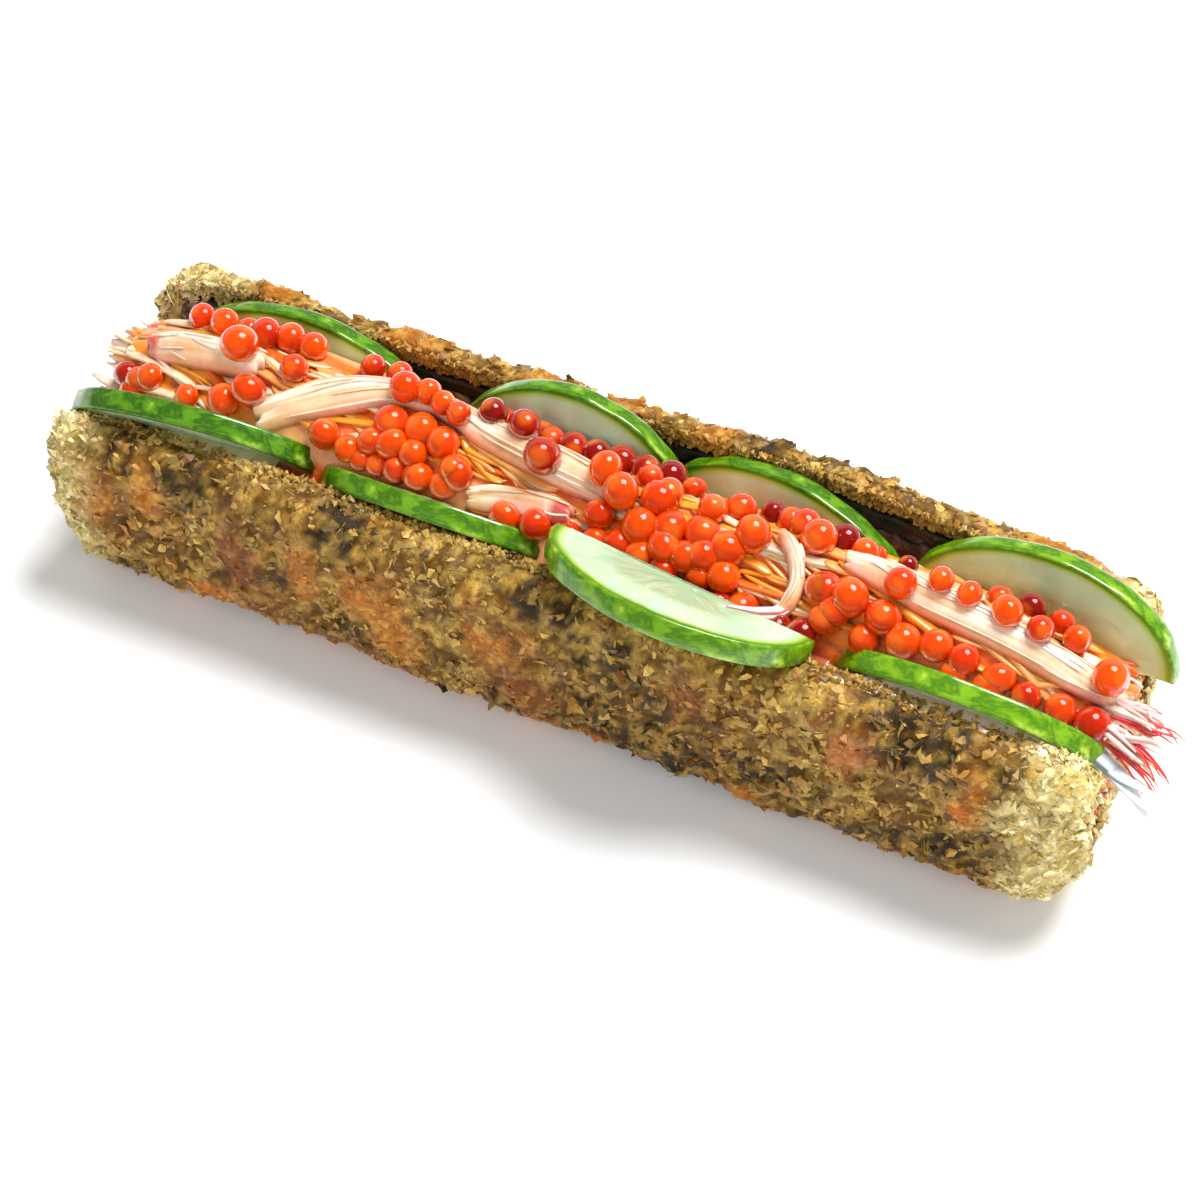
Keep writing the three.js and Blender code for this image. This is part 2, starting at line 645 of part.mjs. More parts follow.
// The section of a strip: higher in the middle, with every second lane a groove
function stripCrown(lane, k, t) {
  const crown = Math.sqrt(Math.max(1 - 0.75 * lane * lane, 0));
  const groove = k % 2 === 0 ? 0 : 0.14;
  return Math.max(crown - groove, 0.3) * (0.8 + 0.2 * Math.min(1, 5 * t, 5 * (1 - t)));
}

// Nearest distance in plan from a point to a strip's middle line
function stripDistance(line, x, y) {
  let best = Infinity;
  for (const p of line) best = Math.min(best, Math.hypot(p.x - x, p.y - y));
  return best;
}

// Eggs of the drifts, pushed apart and clear of the cucumber, each on what it lies on
function eggList() {
  const random = stream(EGG_SEED);
  const lines = Object.fromEntries(
    Object.entries(STRIPS).map(([name, strip]) => [name, stripCurve(strip).getSpacedPoints(40)]),
  );
  const eggs = [];
  for (const drift of DRIFTS) {
    for (let k = 0; k < drift.count; k += 1) {
      const t = drift.count > 1 ? k / (drift.count - 1) : 0.5;
      const x = lerp(drift.from[0], drift.to[0], t) + (random() - 0.5) * 2 * EGG_STRAY;
      const y = lerp(drift.from[1], drift.to[1], t) + (random() - 0.5) * 2 * EGG_STRAY;
      const radius = EGG * drift.size * (1 + EGG_SPREAD * (2 * random() - 1));
      eggs.push({ x, y, z: 0, radius, host: 'filling' });
    }
  }
  for (let pass = 0; pass < EGG_PASSES; pass += 1) {
    for (const egg of eggs) settle(egg, lines);
    spread(eggs);
  }
  eggs.forEach((egg, i) => {
    settle(egg, lines);
    pile(egg, eggs.slice(0, i));
  });
  return eggs.filter((egg, i) => egg.lift < egg.radius * EGG_LIFT
    && !eggs.some((other, j) => j < i && crosses(egg, other))
    && !moonNear(new THREE.Vector3(egg.x, egg.y, egg.z), egg.radius + EGG_CLEAR)
    && !Object.entries(STRIPS).some(([name, strip]) => (egg.host !== name
      && stripDistance(lines[name], egg.x, egg.y) < strip.width / 2 + egg.radius + EGG_CLEAR)));
}

// Lay one egg on the strip or the bundle under it, and move it off the cucumber
function settle(egg, lines) {
  egg.host = 'filling';
  let height = coreHeight(egg.x, egg.y);
  for (const [name, strip] of Object.entries(STRIPS)) {
    const distance = stripDistance(lines[name], egg.x, egg.y);
    const half = strip.width / 2;
    if (distance < half + EGG_PULL * egg.radius && strip.width > 1.2 * EGG) {
      egg.host = name;
      height += STRIP_GAP + strip.thick * 0.8;
      if (distance > half * 0.8) pushOff(egg, lines[name], half * 0.8 - distance);
    } else if (distance < half + egg.radius + EGG_ROOM) {
      pushOff(egg, lines[name], half + egg.radius + EGG_ROOM - distance);
    }
  }
  egg.z = height + egg.radius * (1 - EGG_SINK);
  for (const name of Object.keys(MOONS)) {
    const depth = moonDepth(name, new THREE.Vector3(egg.x, egg.y, egg.z), egg.radius + EGG_ROOM);
    egg.y += name.includes('far') ? -depth : depth;
  }
  const margin = egg.radius + EGG_ROOM;
  egg.x = clamp(egg.x, -EGG_REACH, EGG_REACH);
  egg.y = clamp(egg.y, NEAR_SIDE + WALL + margin, FAR_SIDE - WALL - margin - GRAIN.width / 2);
}

function pushOff(egg, line, amount) {
  const nearest = line.reduce((a, b) => (
    Math.hypot(a.x - egg.x, a.y - egg.y) < Math.hypot(b.x - egg.x, b.y - egg.y) ? a : b));
  const distance = Math.max(Math.hypot(egg.x - nearest.x, egg.y - nearest.y), 0.01);
  egg.x += ((egg.x - nearest.x) / distance) * amount;
  egg.y += ((egg.y - nearest.y) / distance) * amount;
}

// Distance that two eggs keep: they may sink into each other a little on the same host
function reach(a, b) {
  return a.host === b.host ? EGG_PILE * (a.radius + b.radius) : a.radius + b.radius + EGG_ROOM;
}

function apart(a, b) {
  return Math.hypot(a.x - b.x, a.y - b.y, a.z - b.z);
}

// Lift an egg onto the earlier ones that it overlaps
function pile(egg, others) {
  const ground = egg.z;
  for (const other of others) {
    const flat = Math.hypot(egg.x - other.x, egg.y - other.y);
    const touch = EGG_TOUCH * (egg.radius + other.radius);
    if (other.host === egg.host && apart(egg, other) < touch) {
      egg.z = other.z + Math.sqrt(touch * touch - flat * flat);
    }
  }
  egg.lift = egg.z - ground;
}

function crosses(a, b) {
  return a.host !== b.host && apart(a, b) < a.radius + b.radius + EGG_CLEAR;
}

function spread(eggs) {
  for (let i = 0; i < eggs.length; i += 1) {
    for (let j = i + 1; j < eggs.length; j += 1) {
      const [a, b] = [eggs[i], eggs[j]];
      const lack = reach(a, b) - apart(a, b);
      if (lack <= 0) continue;
      const flat = Math.max(Math.hypot(a.x - b.x, a.y - b.y), 0.01);
      const step = (0.5 * lack) / flat;
      const [dx, dy] = [(a.x - b.x) * step, (a.y - b.y) * step];
      a.x += dx;
      a.y += dy;
      b.x -= dx;
      b.y -= dy;
    }
  }
}

// An egg as a ball of few sides: three rings of five points
function eggGeometry(egg) {
  const sides = 5;
  const rings = [28, 90, 152].map((angle) => {
    const [radius, rise] = [egg.radius * Math.sin(radians(angle)), -egg.radius * Math.cos(radians(angle))];
    return Array.from({ length: sides }, (_, i) => {
      const turn = egg.x + (2 * Math.PI * i) / sides;
      return new THREE.Vector3(radius * Math.cos(turn), radius * Math.sin(turn), rise)
        .add(new THREE.Vector3(egg.x, egg.y, egg.z));
    });
  });
  return skin(rings);
}

// A thin shred that starts in the bundle, sticks out of its end and droops a little
function shredGeometry(shred) {
  const from = new THREE.Vector3(...shred.from);
  const to = new THREE.Vector3(...shred.to);
  const along = to.clone().sub(from).normalize();
  const side = new THREE.Vector3(0, 0, 1).cross(along).normalize();
  const up = along.clone().cross(side);
  const rings = [0, 0.35, 0.7, 1].map((t) => {
    const middle = from.clone().lerp(to, t).addScaledVector(up, SHRED_DROOP * t * (1 - t));
    const half = (shred.width / 2) * (1 - 0.6 * t * t);
    const thick = (SHRED_THICK / 2) * (1 - 0.4 * t);
    return [[-1, -1], [1, -1], [1, 1], [-1, 1]].map(([a, b]) => middle.clone()
      .addScaledVector(side, a * half).addScaledVector(up, b * thick));
  });
  return skin(rings);
}

// The bundle cut clear of the cucumber, with the loose shreds and its eggs fused on
function fillingGeometry(eggs) {
  let body = solid(coreGeometry());
  for (const name of Object.keys(MOONS)) body = body.subtract(moonRoom(name));
  body = largest(body).simplify(FINENESS);
  for (const shred of SHREDS) body = body.add(solid(shredGeometry(shred)));
  for (const egg of eggs) if (egg.host === 'filling') body = body.add(solid(eggGeometry(egg)));
  return surface(largest(body).simplify(FINENESS));
}

function paint(colour, roughness) {
  return new THREE.MeshStandardMaterial({ color: colour, roughness, metalness: 0 });
}

function piece(name, geometry, material) {
  const mesh = new THREE.Mesh(geometry, material);
  mesh.name = name;
  return mesh;
}

// The whole sushi hot dog, moved so that the middle of its box stands on the origin
function sushiHotDog() {
  const eggs = eggList();
  const food = new THREE.Group();
  food.add(piece('panko_crust', crustGeometry(), paint(COLOURS.crust, 0.9)));
  food.add(piece('nori_sheet', noriGeometry(), paint(COLOURS.nori, 0.6)));
  food.add(piece('rice_bed', riceGeometry(), paint(COLOURS.rice, 0.7)));
  for (const name of Object.keys(MOONS)) {
    food.add(piece(name, surface(solid(moonGeometry(name))), paint(COLOURS.cucumber, 0.35)));
  }
  for (const [name, strip] of Object.entries(STRIPS)) {
    const own = eggs.filter((egg) => egg.host === name).map(eggGeometry);
    const laid = fuse(stripGeometry(strip), own).simplify(FINENESS);
    food.add(piece(name, surface(laid), paint(COLOURS.crab, 0.45)));
  }
  food.add(piece('crab_and_roe', fillingGeometry(eggs), paint(COLOURS.filling, 0.3)));
  const box = new THREE.Box3().setFromObject(food);
  const centre = box.getCenter(new THREE.Vector3());
  food.position.set(-centre.x, -centre.y, -box.min.z);
  const whole = new THREE.Group();
  whole.add(food);
  return whole;
}

export default sushiHotDog();
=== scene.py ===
import math

import bpy
import numpy as np
from mathutils import Matrix, Vector


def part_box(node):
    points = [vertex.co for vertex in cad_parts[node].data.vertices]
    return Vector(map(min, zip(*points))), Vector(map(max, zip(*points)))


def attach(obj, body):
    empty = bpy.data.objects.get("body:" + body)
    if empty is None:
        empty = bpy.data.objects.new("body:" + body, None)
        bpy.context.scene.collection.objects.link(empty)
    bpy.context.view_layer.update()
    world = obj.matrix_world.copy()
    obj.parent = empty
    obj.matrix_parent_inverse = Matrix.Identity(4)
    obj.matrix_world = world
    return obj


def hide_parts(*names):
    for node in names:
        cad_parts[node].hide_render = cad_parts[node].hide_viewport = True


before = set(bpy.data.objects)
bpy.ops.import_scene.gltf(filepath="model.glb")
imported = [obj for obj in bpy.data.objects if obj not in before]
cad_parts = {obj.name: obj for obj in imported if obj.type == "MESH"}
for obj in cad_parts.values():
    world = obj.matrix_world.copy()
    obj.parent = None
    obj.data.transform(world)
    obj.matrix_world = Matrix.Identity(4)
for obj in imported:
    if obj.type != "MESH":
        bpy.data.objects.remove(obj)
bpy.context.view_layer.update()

# The looks of a sushi hot dog. Lengths are in millimetres in the trough's own frame (+X along it,
# the near wall at -Y, +Z up, the floor at z = 0) until metres() turns them into the row frame.

# Trough
LENGTH = 195.0
NEAR_SIDE, FAR_SIDE = -25.2, 25.0
NEAR_RIM, FAR_RIM = 37.4, 39.2
HUMP_AT, HUMP_REACH, HUMP_HEIGHT = 31.0, 31.0, 3.3
FAR_THICK = 1.4
BOTTOM_CORNER = 12.5
RIM_RADIUS = 5.8
LAYER_GAP = 0.35
CRUST, NORI, WALL = 2.8, 0.6, 6.1
CHANNEL_FLOOR, CHANNEL_CORNER = 12.0, 9.0
COVERED_LENGTH = 185.0
SKEW_SHIFT, SKEW_FAR = -0.2, -2.3
NORI_LIP = 3.4
END_FACE, END_SLOPE = 1.5, 24.0
LEFT = dict(plan=7.0, base=10.0, near_rim=8.0, far_rim=9.0, near_drop=2.5, far_drop=4.5)
RIGHT = dict(plan=6.0, base=17.0, near_rim=6.0, far_rim=10.0, near_drop=1.0, far_drop=4.0)

# Cucumber half moons: middle of the cut edge, half length, lean, yaw and roll in degrees, height
MOON_HEIGHT, FAR_MOON, NEAR_MOON = 18.0, 3.6, 3.9
MOONS = {
    "cucumber_far_1": dict(at=(-63.2, 10.6, 24.9), half=28.0, lean=15, yaw=1.7, roll=5.6),
    "cucumber_far_2": dict(at=(-9.5, 9.6, 29.6), half=22.8, lean=15, yaw=0.9, roll=9.8),
    "cucumber_far_3": dict(at=(30.1, 10.4, 25.2), half=26.5, lean=15, yaw=-8, roll=3.5),
    "cucumber_far_4": dict(at=(76.6, 11.0, 30.5), half=24.2, height=15.7, lean=15, yaw=-4.1, roll=-2.4),
    "cucumber_near_1": dict(at=(-74.0, -9.6, 29.9), half=24.0, height=16.6, lean=-31, yaw=6.6, roll=1.9),
    "cucumber_near_2": dict(at=(-27.2, -7.4, 29.3), half=22.4, height=14.8, lean=-40, yaw=0.7, roll=-0.2),
    "cucumber_near_3": dict(at=(21.6, -13.1, 38.6), half=24.5, lean=-62, yaw=-9.4, roll=5.4),
    "cucumber_near_4": dict(at=(72.0, -9.0, 28.6), half=24.0, height=15.2, lean=-29, yaw=-1.5, roll=-0.3),
}

# Bundle of crab
CORE_CREST, CORE_MIDDLE = 42.0, 1.0
CORE_DROP_NEAR, CORE_DROP_FAR = 8.5, 15.0
CORE_HALF_NEAR, CORE_HALF_FAR = 13.5, 16.2
STEEP_LEFT, STEEP_RIGHT, STEEP_FROM, STEEP_TO = 3.5, 2.0, -42.0, -24.0
CORE_END, CORE_FLAT = 93.6, 67.0
CORE_END_LEFT, CORE_END_RIGHT = 10.0, 5.5
FIBRE_PITCH, FIBRE_DEPTH = 9.0, 0.45

STRIP_GAP = 0.8
STRIPS = {
    "crab_strip_left": dict(path=[(-89.4, 0), (-82, -0.3), (-74, -0.5), (-65.5, 0)], width=5.4, thick=2.4),
    "crab_strip_long": dict(
        path=[(-63, -8), (-56, -3.8), (-48, 0.8), (-40, 4.4), (-31, 4.8), (-22, 2.2), (-12, 0.8), (-4, -0.4),
              (3, -1.6)],
        width=6.2, thick=2.6),
    "crab_strip_low": dict(path=[(-21, -8.4), (-14, -7.2), (-8, -6.7), (-2, -6.6)], width=3.2, thick=2.0),
    "crab_strip_loop": dict(path=[(33.5, 0.8), (37.3, -2.4), (39, -6.4), (38, -10)], width=2.7, thick=2.4),
    "crab_strip_right": dict(
        path=[(45, 0.8), (52, 0.2), (61, -1), (72, -2), (84, -2.8), (94, -3.2)], width=5.0, thick=2.4),
}

# Salmon roe
EGG, EGG_SPREAD, EGG_STRAY, EGG_PASSES = 3.0, 0.08, 0.35, 30
EGG_SINK, EGG_PILE, EGG_TOUCH, EGG_LIFT = 0.42, 0.8, 0.76, 1.3
EGG_PULL, EGG_CLEAR, EGG_ROOM, EGG_REACH, EGG_SEED = 0.25, 0.3, 0.42, 92.5, 5
GRAIN_WIDTH = 2.3
# Drifts of eggs: the two ends in plan, count, size
DRIFTS = [
    ((-83.5, 8.4), (-78, 7.8), 2, 0.9), ((-69, 7.4), (-60.5, 8.8), 3, 0.92),
    ((-48.5, 8.8), (-43.5, 8.6), 2, 0.85), ((-69.5, -0.5), (-69.5, -0.5), 1, 1.18),
    ((-60.5, 0.5), (-60.5, 0.5), 1, 0.87), ((-66, -5), (-70, -7.4), 2, 1),
    ((-90.5, -4), (-86, -4.4), 2, 0.87), ((-89.5, -7.4), (-89.5, -7.4), 1, 0.8),
    ((-77, -8), (-77, -8), 1, 0.78), ((-53, -8), (-46.5, -7.6), 2, 0.9),
    ((-45, -4), (-39, -3.4), 2, 1.03), ((-38, 1.6), (-38, 1.6), 1, 1.08),
    ((-34.5, 3.4), (-28, 1.2), 3, 0.8), ((-32, -2.2), (-25.5, -3.6), 2, 1),
    ((-41.5, -7), (-36.5, -7.4), 2, 0.88), ((-33.6, -5.6), (-28, -6.6), 2, 0.9),
    ((-41.5, -9.6), (-34.5, -9.6), 3, 0.75), ((-29, -10), (-20, -9.4), 3, 0.8),
    ((-17.5, -5), (-10.5, -2.4), 2, 1.1), ((1, -6.6), (1, -6.6), 1, 0.9),
    ((-22.5, 4.6), (-16, 4), 2, 0.95), ((-12, 7.2), (-4, 7.4), 3, 0.87),
    ((0.5, 7.6), (9.5, 7.4), 3, 0.98), ((8, 4.6), (15, 6.6), 2, 0.8), ((2.6, -1), (2.6, -1), 1, 0.93),
    ((9, -2.6), (13.6, -4.4), 2, 1), ((5, -8.4), (11.5, -8.8), 2, 1.12),
    ((0.5, -10), (0.5, -10), 1, 0.93), ((7.5, -10.8), (16.5, -11.4), 3, 0.92),
    ((19, -6), (20.5, -9.2), 2, 1.04), ((21, 0.5), (24.5, 4.4), 2, 0.9), ((26, -3), (30, -1), 2, 1.06),
    ((26.5, -9), (31, -11), 2, 1.03), ((23.5, -12), (27.5, -12.4), 2, 0.87),
    ((29.5, 6.4), (29.5, 6.4), 1, 0.8), ((36, 3.6), (42.5, 6), 2, 1), ((42, -0.4), (43, -5), 2, 1),
    ((42, -9), (40, -12), 2, 1.04), ((48, -5), (52, -6.4), 2, 1.03), ((50, -1), (55, -2.2), 2, 0.9),
    ((47.6, -10.6), (47.6, -10.6), 1, 0.93), ((57.4, -8), (57.4, -8), 1, 1),
    ((49, 5), (54.5, 4.6), 2, 0.62), ((61.5, 1.4), (66.5, 0.8), 2, 0.75),
    ((73.5, 0.8), (85, 0.2), 3, 0.87), ((76, 6.4), (76, 6.4), 1, 0.8),
    ((64, -6.8), (86.5, -7.8), 5, 0.95), ((92.4, -2.6), (92.4, -7.6), 2, 1.1),
]

# Eggs that sink in between the others: place in plan, lift, size
MORE_EGGS = [
    (-49.8, -7.2, 0.0, 0.9), (-44.6, -7.9, 0.3, 0.85), (-30.5, -8.4, 0.8, 0.85), (-24, -6.4, 0.2, 0.95),
    (-13.4, -9.4, 0.4, 0.92), (-7.6, -9.3, 0.6, 0.95), (-1.2, -9.4, 0.3, 0.9), (2.6, -5.6, 0.6, 0.9),
    (-22, 7.4, 0.0, 0.95), (-14.6, 7.6, 0.2, 0.9), (15.5, -7.4, 1.2, 0.95), (22.5, -6.6, 0.8, 0.95),
    (43.2, -5.2, 0.0, 1.0), (38.4, -12.2, 0.6, 0.95), (46.5, -7.8, 0.6, 0.95), (52.6, -9.4, 0.0, 0.9),
    (68.4, -9.6, 0.2, 0.85), (74.4, -9.4, 0.2, 0.85), (80.6, -8.6, 0.2, 0.9), (86.4, -8.2, 0.3, 0.95),
    (92, -8.2, 0.6, 1.1), (12.4, 1.2, 0.0, 0.9), (33, 5.6, 0.0, 0.85), (47.4, 3.4, 0.0, 0.8),
    (81.4, 5.4, 0.0, 0.75), (70.6, 4.8, 0.0, 0.7), (-72.6, 7.2, 0.0, 0.8), (-88, -6.6, 0.3, 0.85),
]

FLAKES, FRINGE, CRUMBS, SPIKES = (6000, 16500), (2000, 5800), (5000, 17500), (2500, 6500)
SHREDS, GRAINS, FIBRES = (110, 250), 430, 850
# Grids: length of a step in mm, then how many points there are around or along; two numbers as above
CRUST_STEP, CORE_STEP, STRIP_STEP = (1.3, 0.82), (1.2, 0.75), (1.4, 0.8)
SLICE_AROUND, EGG_AROUND, EGG_ALONG, SHRED_POINTS = (60, 132), (16, 24), (10, 14), (9, 14)
NORI_ROWS, RICE_ROWS, CORE_LANES, STRIP_LANES = 130, 190, 84, 34
# Stretches of an outline along each rim, side, bottom corner and floor
CRUST_STEPS, NORI_STEPS, RICE_STEPS = (8, 24, 16, 22), (4, 8, 6, 6), (3, 6, 6, 6)
END_RINGS = 6
# Relief of the crust in mm: lumps, broad and fine crags, batter, and both ends; height of the lowest skin
LUMP, BROAD_CRAG, FINE_CRAG, BATTER, END_CRAG, SKIN_FLOOR = 0.55, 2.2, 1.9, 0.5, 0.9, 0.05
# Slices in mm: rounding of the rim, dents in it, and the seeds' bumps with half their length and width
BEVEL, DENT, SEED_BUMP, SEED_LONG, SEED_WIDE = 0.45, 0.35, 0.16, 3.2, 1.3
# Strips: width of their ends, as a share, and points along each of their fibres
STRIP_TAPER, FIBRE_POINTS = 0.66, 14
# Fibre ends in mm: how far inside they start, the least and the most that they stand out
FIBRE_ROOT, FIBRE_OUT = 6, (0.8, 3.6)
# Height of the lowest crumb, and the room between crumbs and slices
CRUMB_FLOOR, FLAKE_ROOM, FRINGE_ROOM, CRUMB_ROOM, SPIKE_ROOM = 0.03, 0.6, 0.5, 0.3, 1.0

# Camera of the photo, in the trough's frame
CAMERA_AT = (154.2, -320.4, 407.6)
CAMERA_TURN, CAMERA_RISE = 25.68, 48.0
LENS, SENSOR = 90.0, 36.0

# Lights: name, place in m, width, power, colour, and whether glossy faces mirror it
LIGHTS = [
    ("key", (0.20, 0.32, 0.94), 0.55, 17, (0.98, 0.99, 1.0), True),
    ("front", (-0.10, -0.80, 0.60), 0.60, 3.4, (0.97, 0.99, 1.0), False),
    ("side", (0.75, -0.30, 0.45), 0.40, 1.6, (0.97, 0.99, 1.0), False),
]
LIGHT_AIM, WORLD_LIGHT, FLOOR_REACH = (0, 0, 0.02), 0.28, 4


# Numbers and noise

def stream(seed):
    """The part's own repeatable stream of numbers from 0 to 1."""
    state = [seed & 0xFFFFFFFF]

    def draw():
        state[0] = (state[0] + 0x6D2B79F5) & 0xFFFFFFFF
        s = state[0]
        mixed = ((s ^ (s >> 15)) * (1 | s)) & 0xFFFFFFFF
        mixed = ((mixed + ((mixed ^ (mixed >> 7)) * (61 | mixed) & 0xFFFFFFFF)) & 0xFFFFFFFF) ^ mixed
        return ((mixed ^ (mixed >> 14)) & 0xFFFFFFFF) / 4294967296

    return draw


def lattice(x, y, z, seed):
    with np.errstate(over="ignore"):
        h = (x.astype(np.uint32) * np.uint32(374761393) + y.astype(np.uint32) * np.uint32(668265263)
             + z.astype(np.uint32) * np.uint32(2246822519) + np.uint32((seed * 3266489917) & 0xFFFFFFFF))
        h = (h ^ (h >> np.uint32(13))) * np.uint32(1274126177)
        h = (h ^ (h >> np.uint32(15))) * np.uint32(2654435761)
    return ((h >> np.uint32(8)) & np.uint32(0xFFFF)).astype(np.float64) / 65535.0


def noise(points, size, seed=0):
    """Smooth noise from 0 to 1 at points (n, 3); size is a number or one for each axis."""
    p = np.asarray(points, float) / np.asarray(size, float) + 1000.0
    base = np.floor(p).astype(np.int64)
    t = p - base
    t = t * t * (3 - 2 * t)
    total = 0.0
    for dx in (0, 1):
        for dy in (0, 1):
            for dz in (0, 1):
                weight = (np.where(dx, t[:, 0], 1 - t[:, 0]) * np.where(dy, t[:, 1], 1 - t[:, 1])
                          * np.where(dz, t[:, 2], 1 - t[:, 2]))
                total = total + weight * lattice(base[:, 0] + dx, base[:, 1] + dy, base[:, 2] + dz, seed)
    return total


def layered(points, size, octaves=3, seed=0):
    total, weight, power = 0.0, 0.0, 1.0
    for k in range(octaves):
        total = total + power * noise(points, np.asarray(size, float) / 2 ** k, seed + 17 * k)
        weight += power
        power *= 0.5
    return total / weight


def smooth(low, high, value):
    t = np.clip((value - low) / (high - low), 0, 1)
    return t * t * (3 - 2 * t)


def lerp(a, b, t):
    return a + (b - a) * t


def detail(quick, full):
    return full


def unit(v):
    """Vectors along the last axis, at length 1."""
    return v / np.maximum(np.linalg.norm(v, axis=-1, keepdims=True), 1e-9)


def colour(r, g, b):
    """A colour named from 0 to 255 as it shows, in linear light."""
    v = np.array([r, g, b], float) / 255
    return np.where(v <= 0.04045, v / 12.92, ((v + 0.055) / 1.055) ** 2.4)


def blend(a, b, t):
    t = np.asarray(t, float)[..., None]
    return a + (b - a) * t


# Form of the trough

def rounding(distance, radius):
    reach = np.clip(radius - distance, 0, radius)
    return radius - np.sqrt(radius * radius - reach * reach)


LAYER_PLACES = [t * COVERED_LENGTH / 2 for t in (0.13, 0.38, 0.63, 0.82, 0.9, 0.955, 1)]
LAYER_STATIONS = [-x for x in reversed(LAYER_PLACES)] + LAYER_PLACES


def hump(x):
    return HUMP_HEIGHT * np.exp(-((np.asarray(x) - HUMP_AT) / HUMP_REACH) ** 2)


def far_crest(x):
    return FAR_RIM + np.interp(x, LAYER_STATIONS, hump(LAYER_STATIONS))


def shape_at(x):
    x = np.asarray(x, float)
    pick = lambda key: np.where(x < 0, LEFT[key], RIGHT[key])
    distance = LENGTH / 2 - np.abs(x) + END_FACE
    slope = (1 - np.clip(distance / END_SLOPE, 0, 1)) ** 2
    plan = rounding(distance, pick("plan"))
    return dict(
        near=NEAR_SIDE + plan, far=FAR_SIDE - plan, base=rounding(distance, pick("base")),
        near_rim=NEAR_RIM - rounding(distance, pick("near_rim")) - pick("near_drop") * slope,
        far_rim=far_crest(x) - rounding(distance, pick("far_rim")) - pick("far_drop") * slope)


def far_top(x, inset):
    return shape_at(x)["far_rim"] - FAR_THICK * inset


def arc(cy, cz, radius, start, stop, steps):
    a = np.radians(np.linspace(start, stop, steps + 1))
    return [(cy + radius * math.cos(t), cz + radius * math.sin(t), math.cos(t), math.sin(t)) for t in a]


def wall_line(x, inset, rim_steps, side, corner, floor):
    """Outline of the trough at x, from the near rim under the floor to the far rim, with its normals."""
    s = {k: float(v) for k, v in shape_at(x).items()}
    rim, bend = RIM_RADIUS - inset, BOTTOM_CORNER - inset
    near, far, base = s["near"] + inset, s["far"] - inset, s["base"] + inset
    near_top, far_edge = s["near_rim"] - inset, float(far_top(x, inset))
    line = arc(near + rim, near_top - rim, rim, 90, 180, rim_steps)
    for i in range(1, side):
        line.append((near, lerp(near_top - rim, base + bend, i / side), -1, 0))
    line += arc(near + bend, base + bend, bend, 180, 270, corner)
    for i in range(1, floor):
        line.append((lerp(near + bend, far - bend, i / floor), base, 0, -1))
    line += arc(far - bend, base + bend, bend, 270, 360, corner)
    for i in range(1, side):
        line.append((far, lerp(base + bend, far_edge - rim, i / side), 1, 0))
    line += arc(far - rim, far_edge - rim, rim, 0, 90, rim_steps)
    return np.array(line)


def channel_line(x, inset=0.0, side=12, corner=10):
    """Outline of the channel that holds the filling, at x."""
    s = {k: float(v) for k, v in shape_at(x).items()}
    near, far = NEAR_SIDE + WALL + inset, FAR_SIDE - WALL - inset
    floor = max(CHANNEL_FLOOR, s["base"] + CRUST + 2) + inset
    bend = CHANNEL_CORNER - inset
    near_top = s["near_rim"] - CRUST - NORI - 2 * LAYER_GAP
    top = float(far_top(x, CRUST)) - NORI_LIP - LAYER_GAP
    line = [(near, lerp(near_top, floor + bend, i / side)) for i in range(side)]
    line += [p[:2] for p in arc(near + bend, floor + bend, bend, 180, 270, corner)]
    line += [p[:2] for p in arc(far - bend, floor + bend, bend, 270, 360, corner)]
    line += [(far, lerp(top, floor + bend, i / side)) for i in range(side - 1, -1, -1)]
    return np.array(line)


def resample(line, count):
    line = np.asarray(line, float)
    steps = np.linalg.norm(np.diff(line[:, :2], axis=0), axis=1)
    run = np.concatenate([[0], np.cumsum(steps)])
    want = np.linspace(0, run[-1], count)
    return np.stack([np.interp(want, run, line[:, k]) for k in range(line.shape[1])], 1)


def askew(x, y, z):
    """Points of the trough, whose ends are cut a little askew."""
    x, y, z = np.broadcast_arrays(np.asarray(x, float), np.asarray(y, float), np.asarray(z, float))
    return np.stack([x + SKEW_SHIFT + SKEW_FAR * (y - NEAR_SIDE) / (FAR_SIDE - NEAR_SIDE), y, z], -1)


# The row frame's place: the nori's lowest corner in both
nori_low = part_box("nori_sheet")[0]
end_far = float(shape_at(-COVERED_LENGTH / 2)["far"]) - CRUST - LAYER_GAP
SHIFT = np.array([
    nori_low.x * 1000 - float(askew(-COVERED_LENGTH / 2, end_far, 0)[0]),
    nori_low.y * 1000 - (NEAR_SIDE + CRUST + LAYER_GAP), 0.0])


def metres(points):
    return (np.asarray(points, float) + SHIFT) / 1000.0


# Form of the filling

def core_height(x, y):
    x, y = np.asarray(x, float), np.asarray(y, float)
    nearward = (CORE_MIDDLE - y) / CORE_HALF_NEAR
    farward = np.maximum((y - CORE_MIDDLE) / CORE_HALF_FAR, 0)
    drop = np.where(x < 0, CORE_END_LEFT, CORE_END_RIGHT)
    end = np.clip((np.abs(x) - CORE_FLAT) / (LENGTH / 2 - CORE_FLAT), 0, 1)
    fibres = FIBRE_DEPTH * np.sin(2 * np.pi * (y + 1.1 * np.sin(x / 17)) / FIBRE_PITCH)
    turn = np.clip((x - STEEP_FROM) / (STEEP_TO - STEEP_FROM), 0, 1)
    steepness = lerp(STEEP_LEFT, STEEP_RIGHT, turn)
    fall = np.where(y < CORE_MIDDLE, CORE_DROP_NEAR * (2 * nearward ** 2) / (1 + nearward ** 2),
                    CORE_DROP_FAR * farward ** steepness)
    return CORE_CREST - fall - drop * end * end + fibres + 0.5 * np.sin(x / 22)


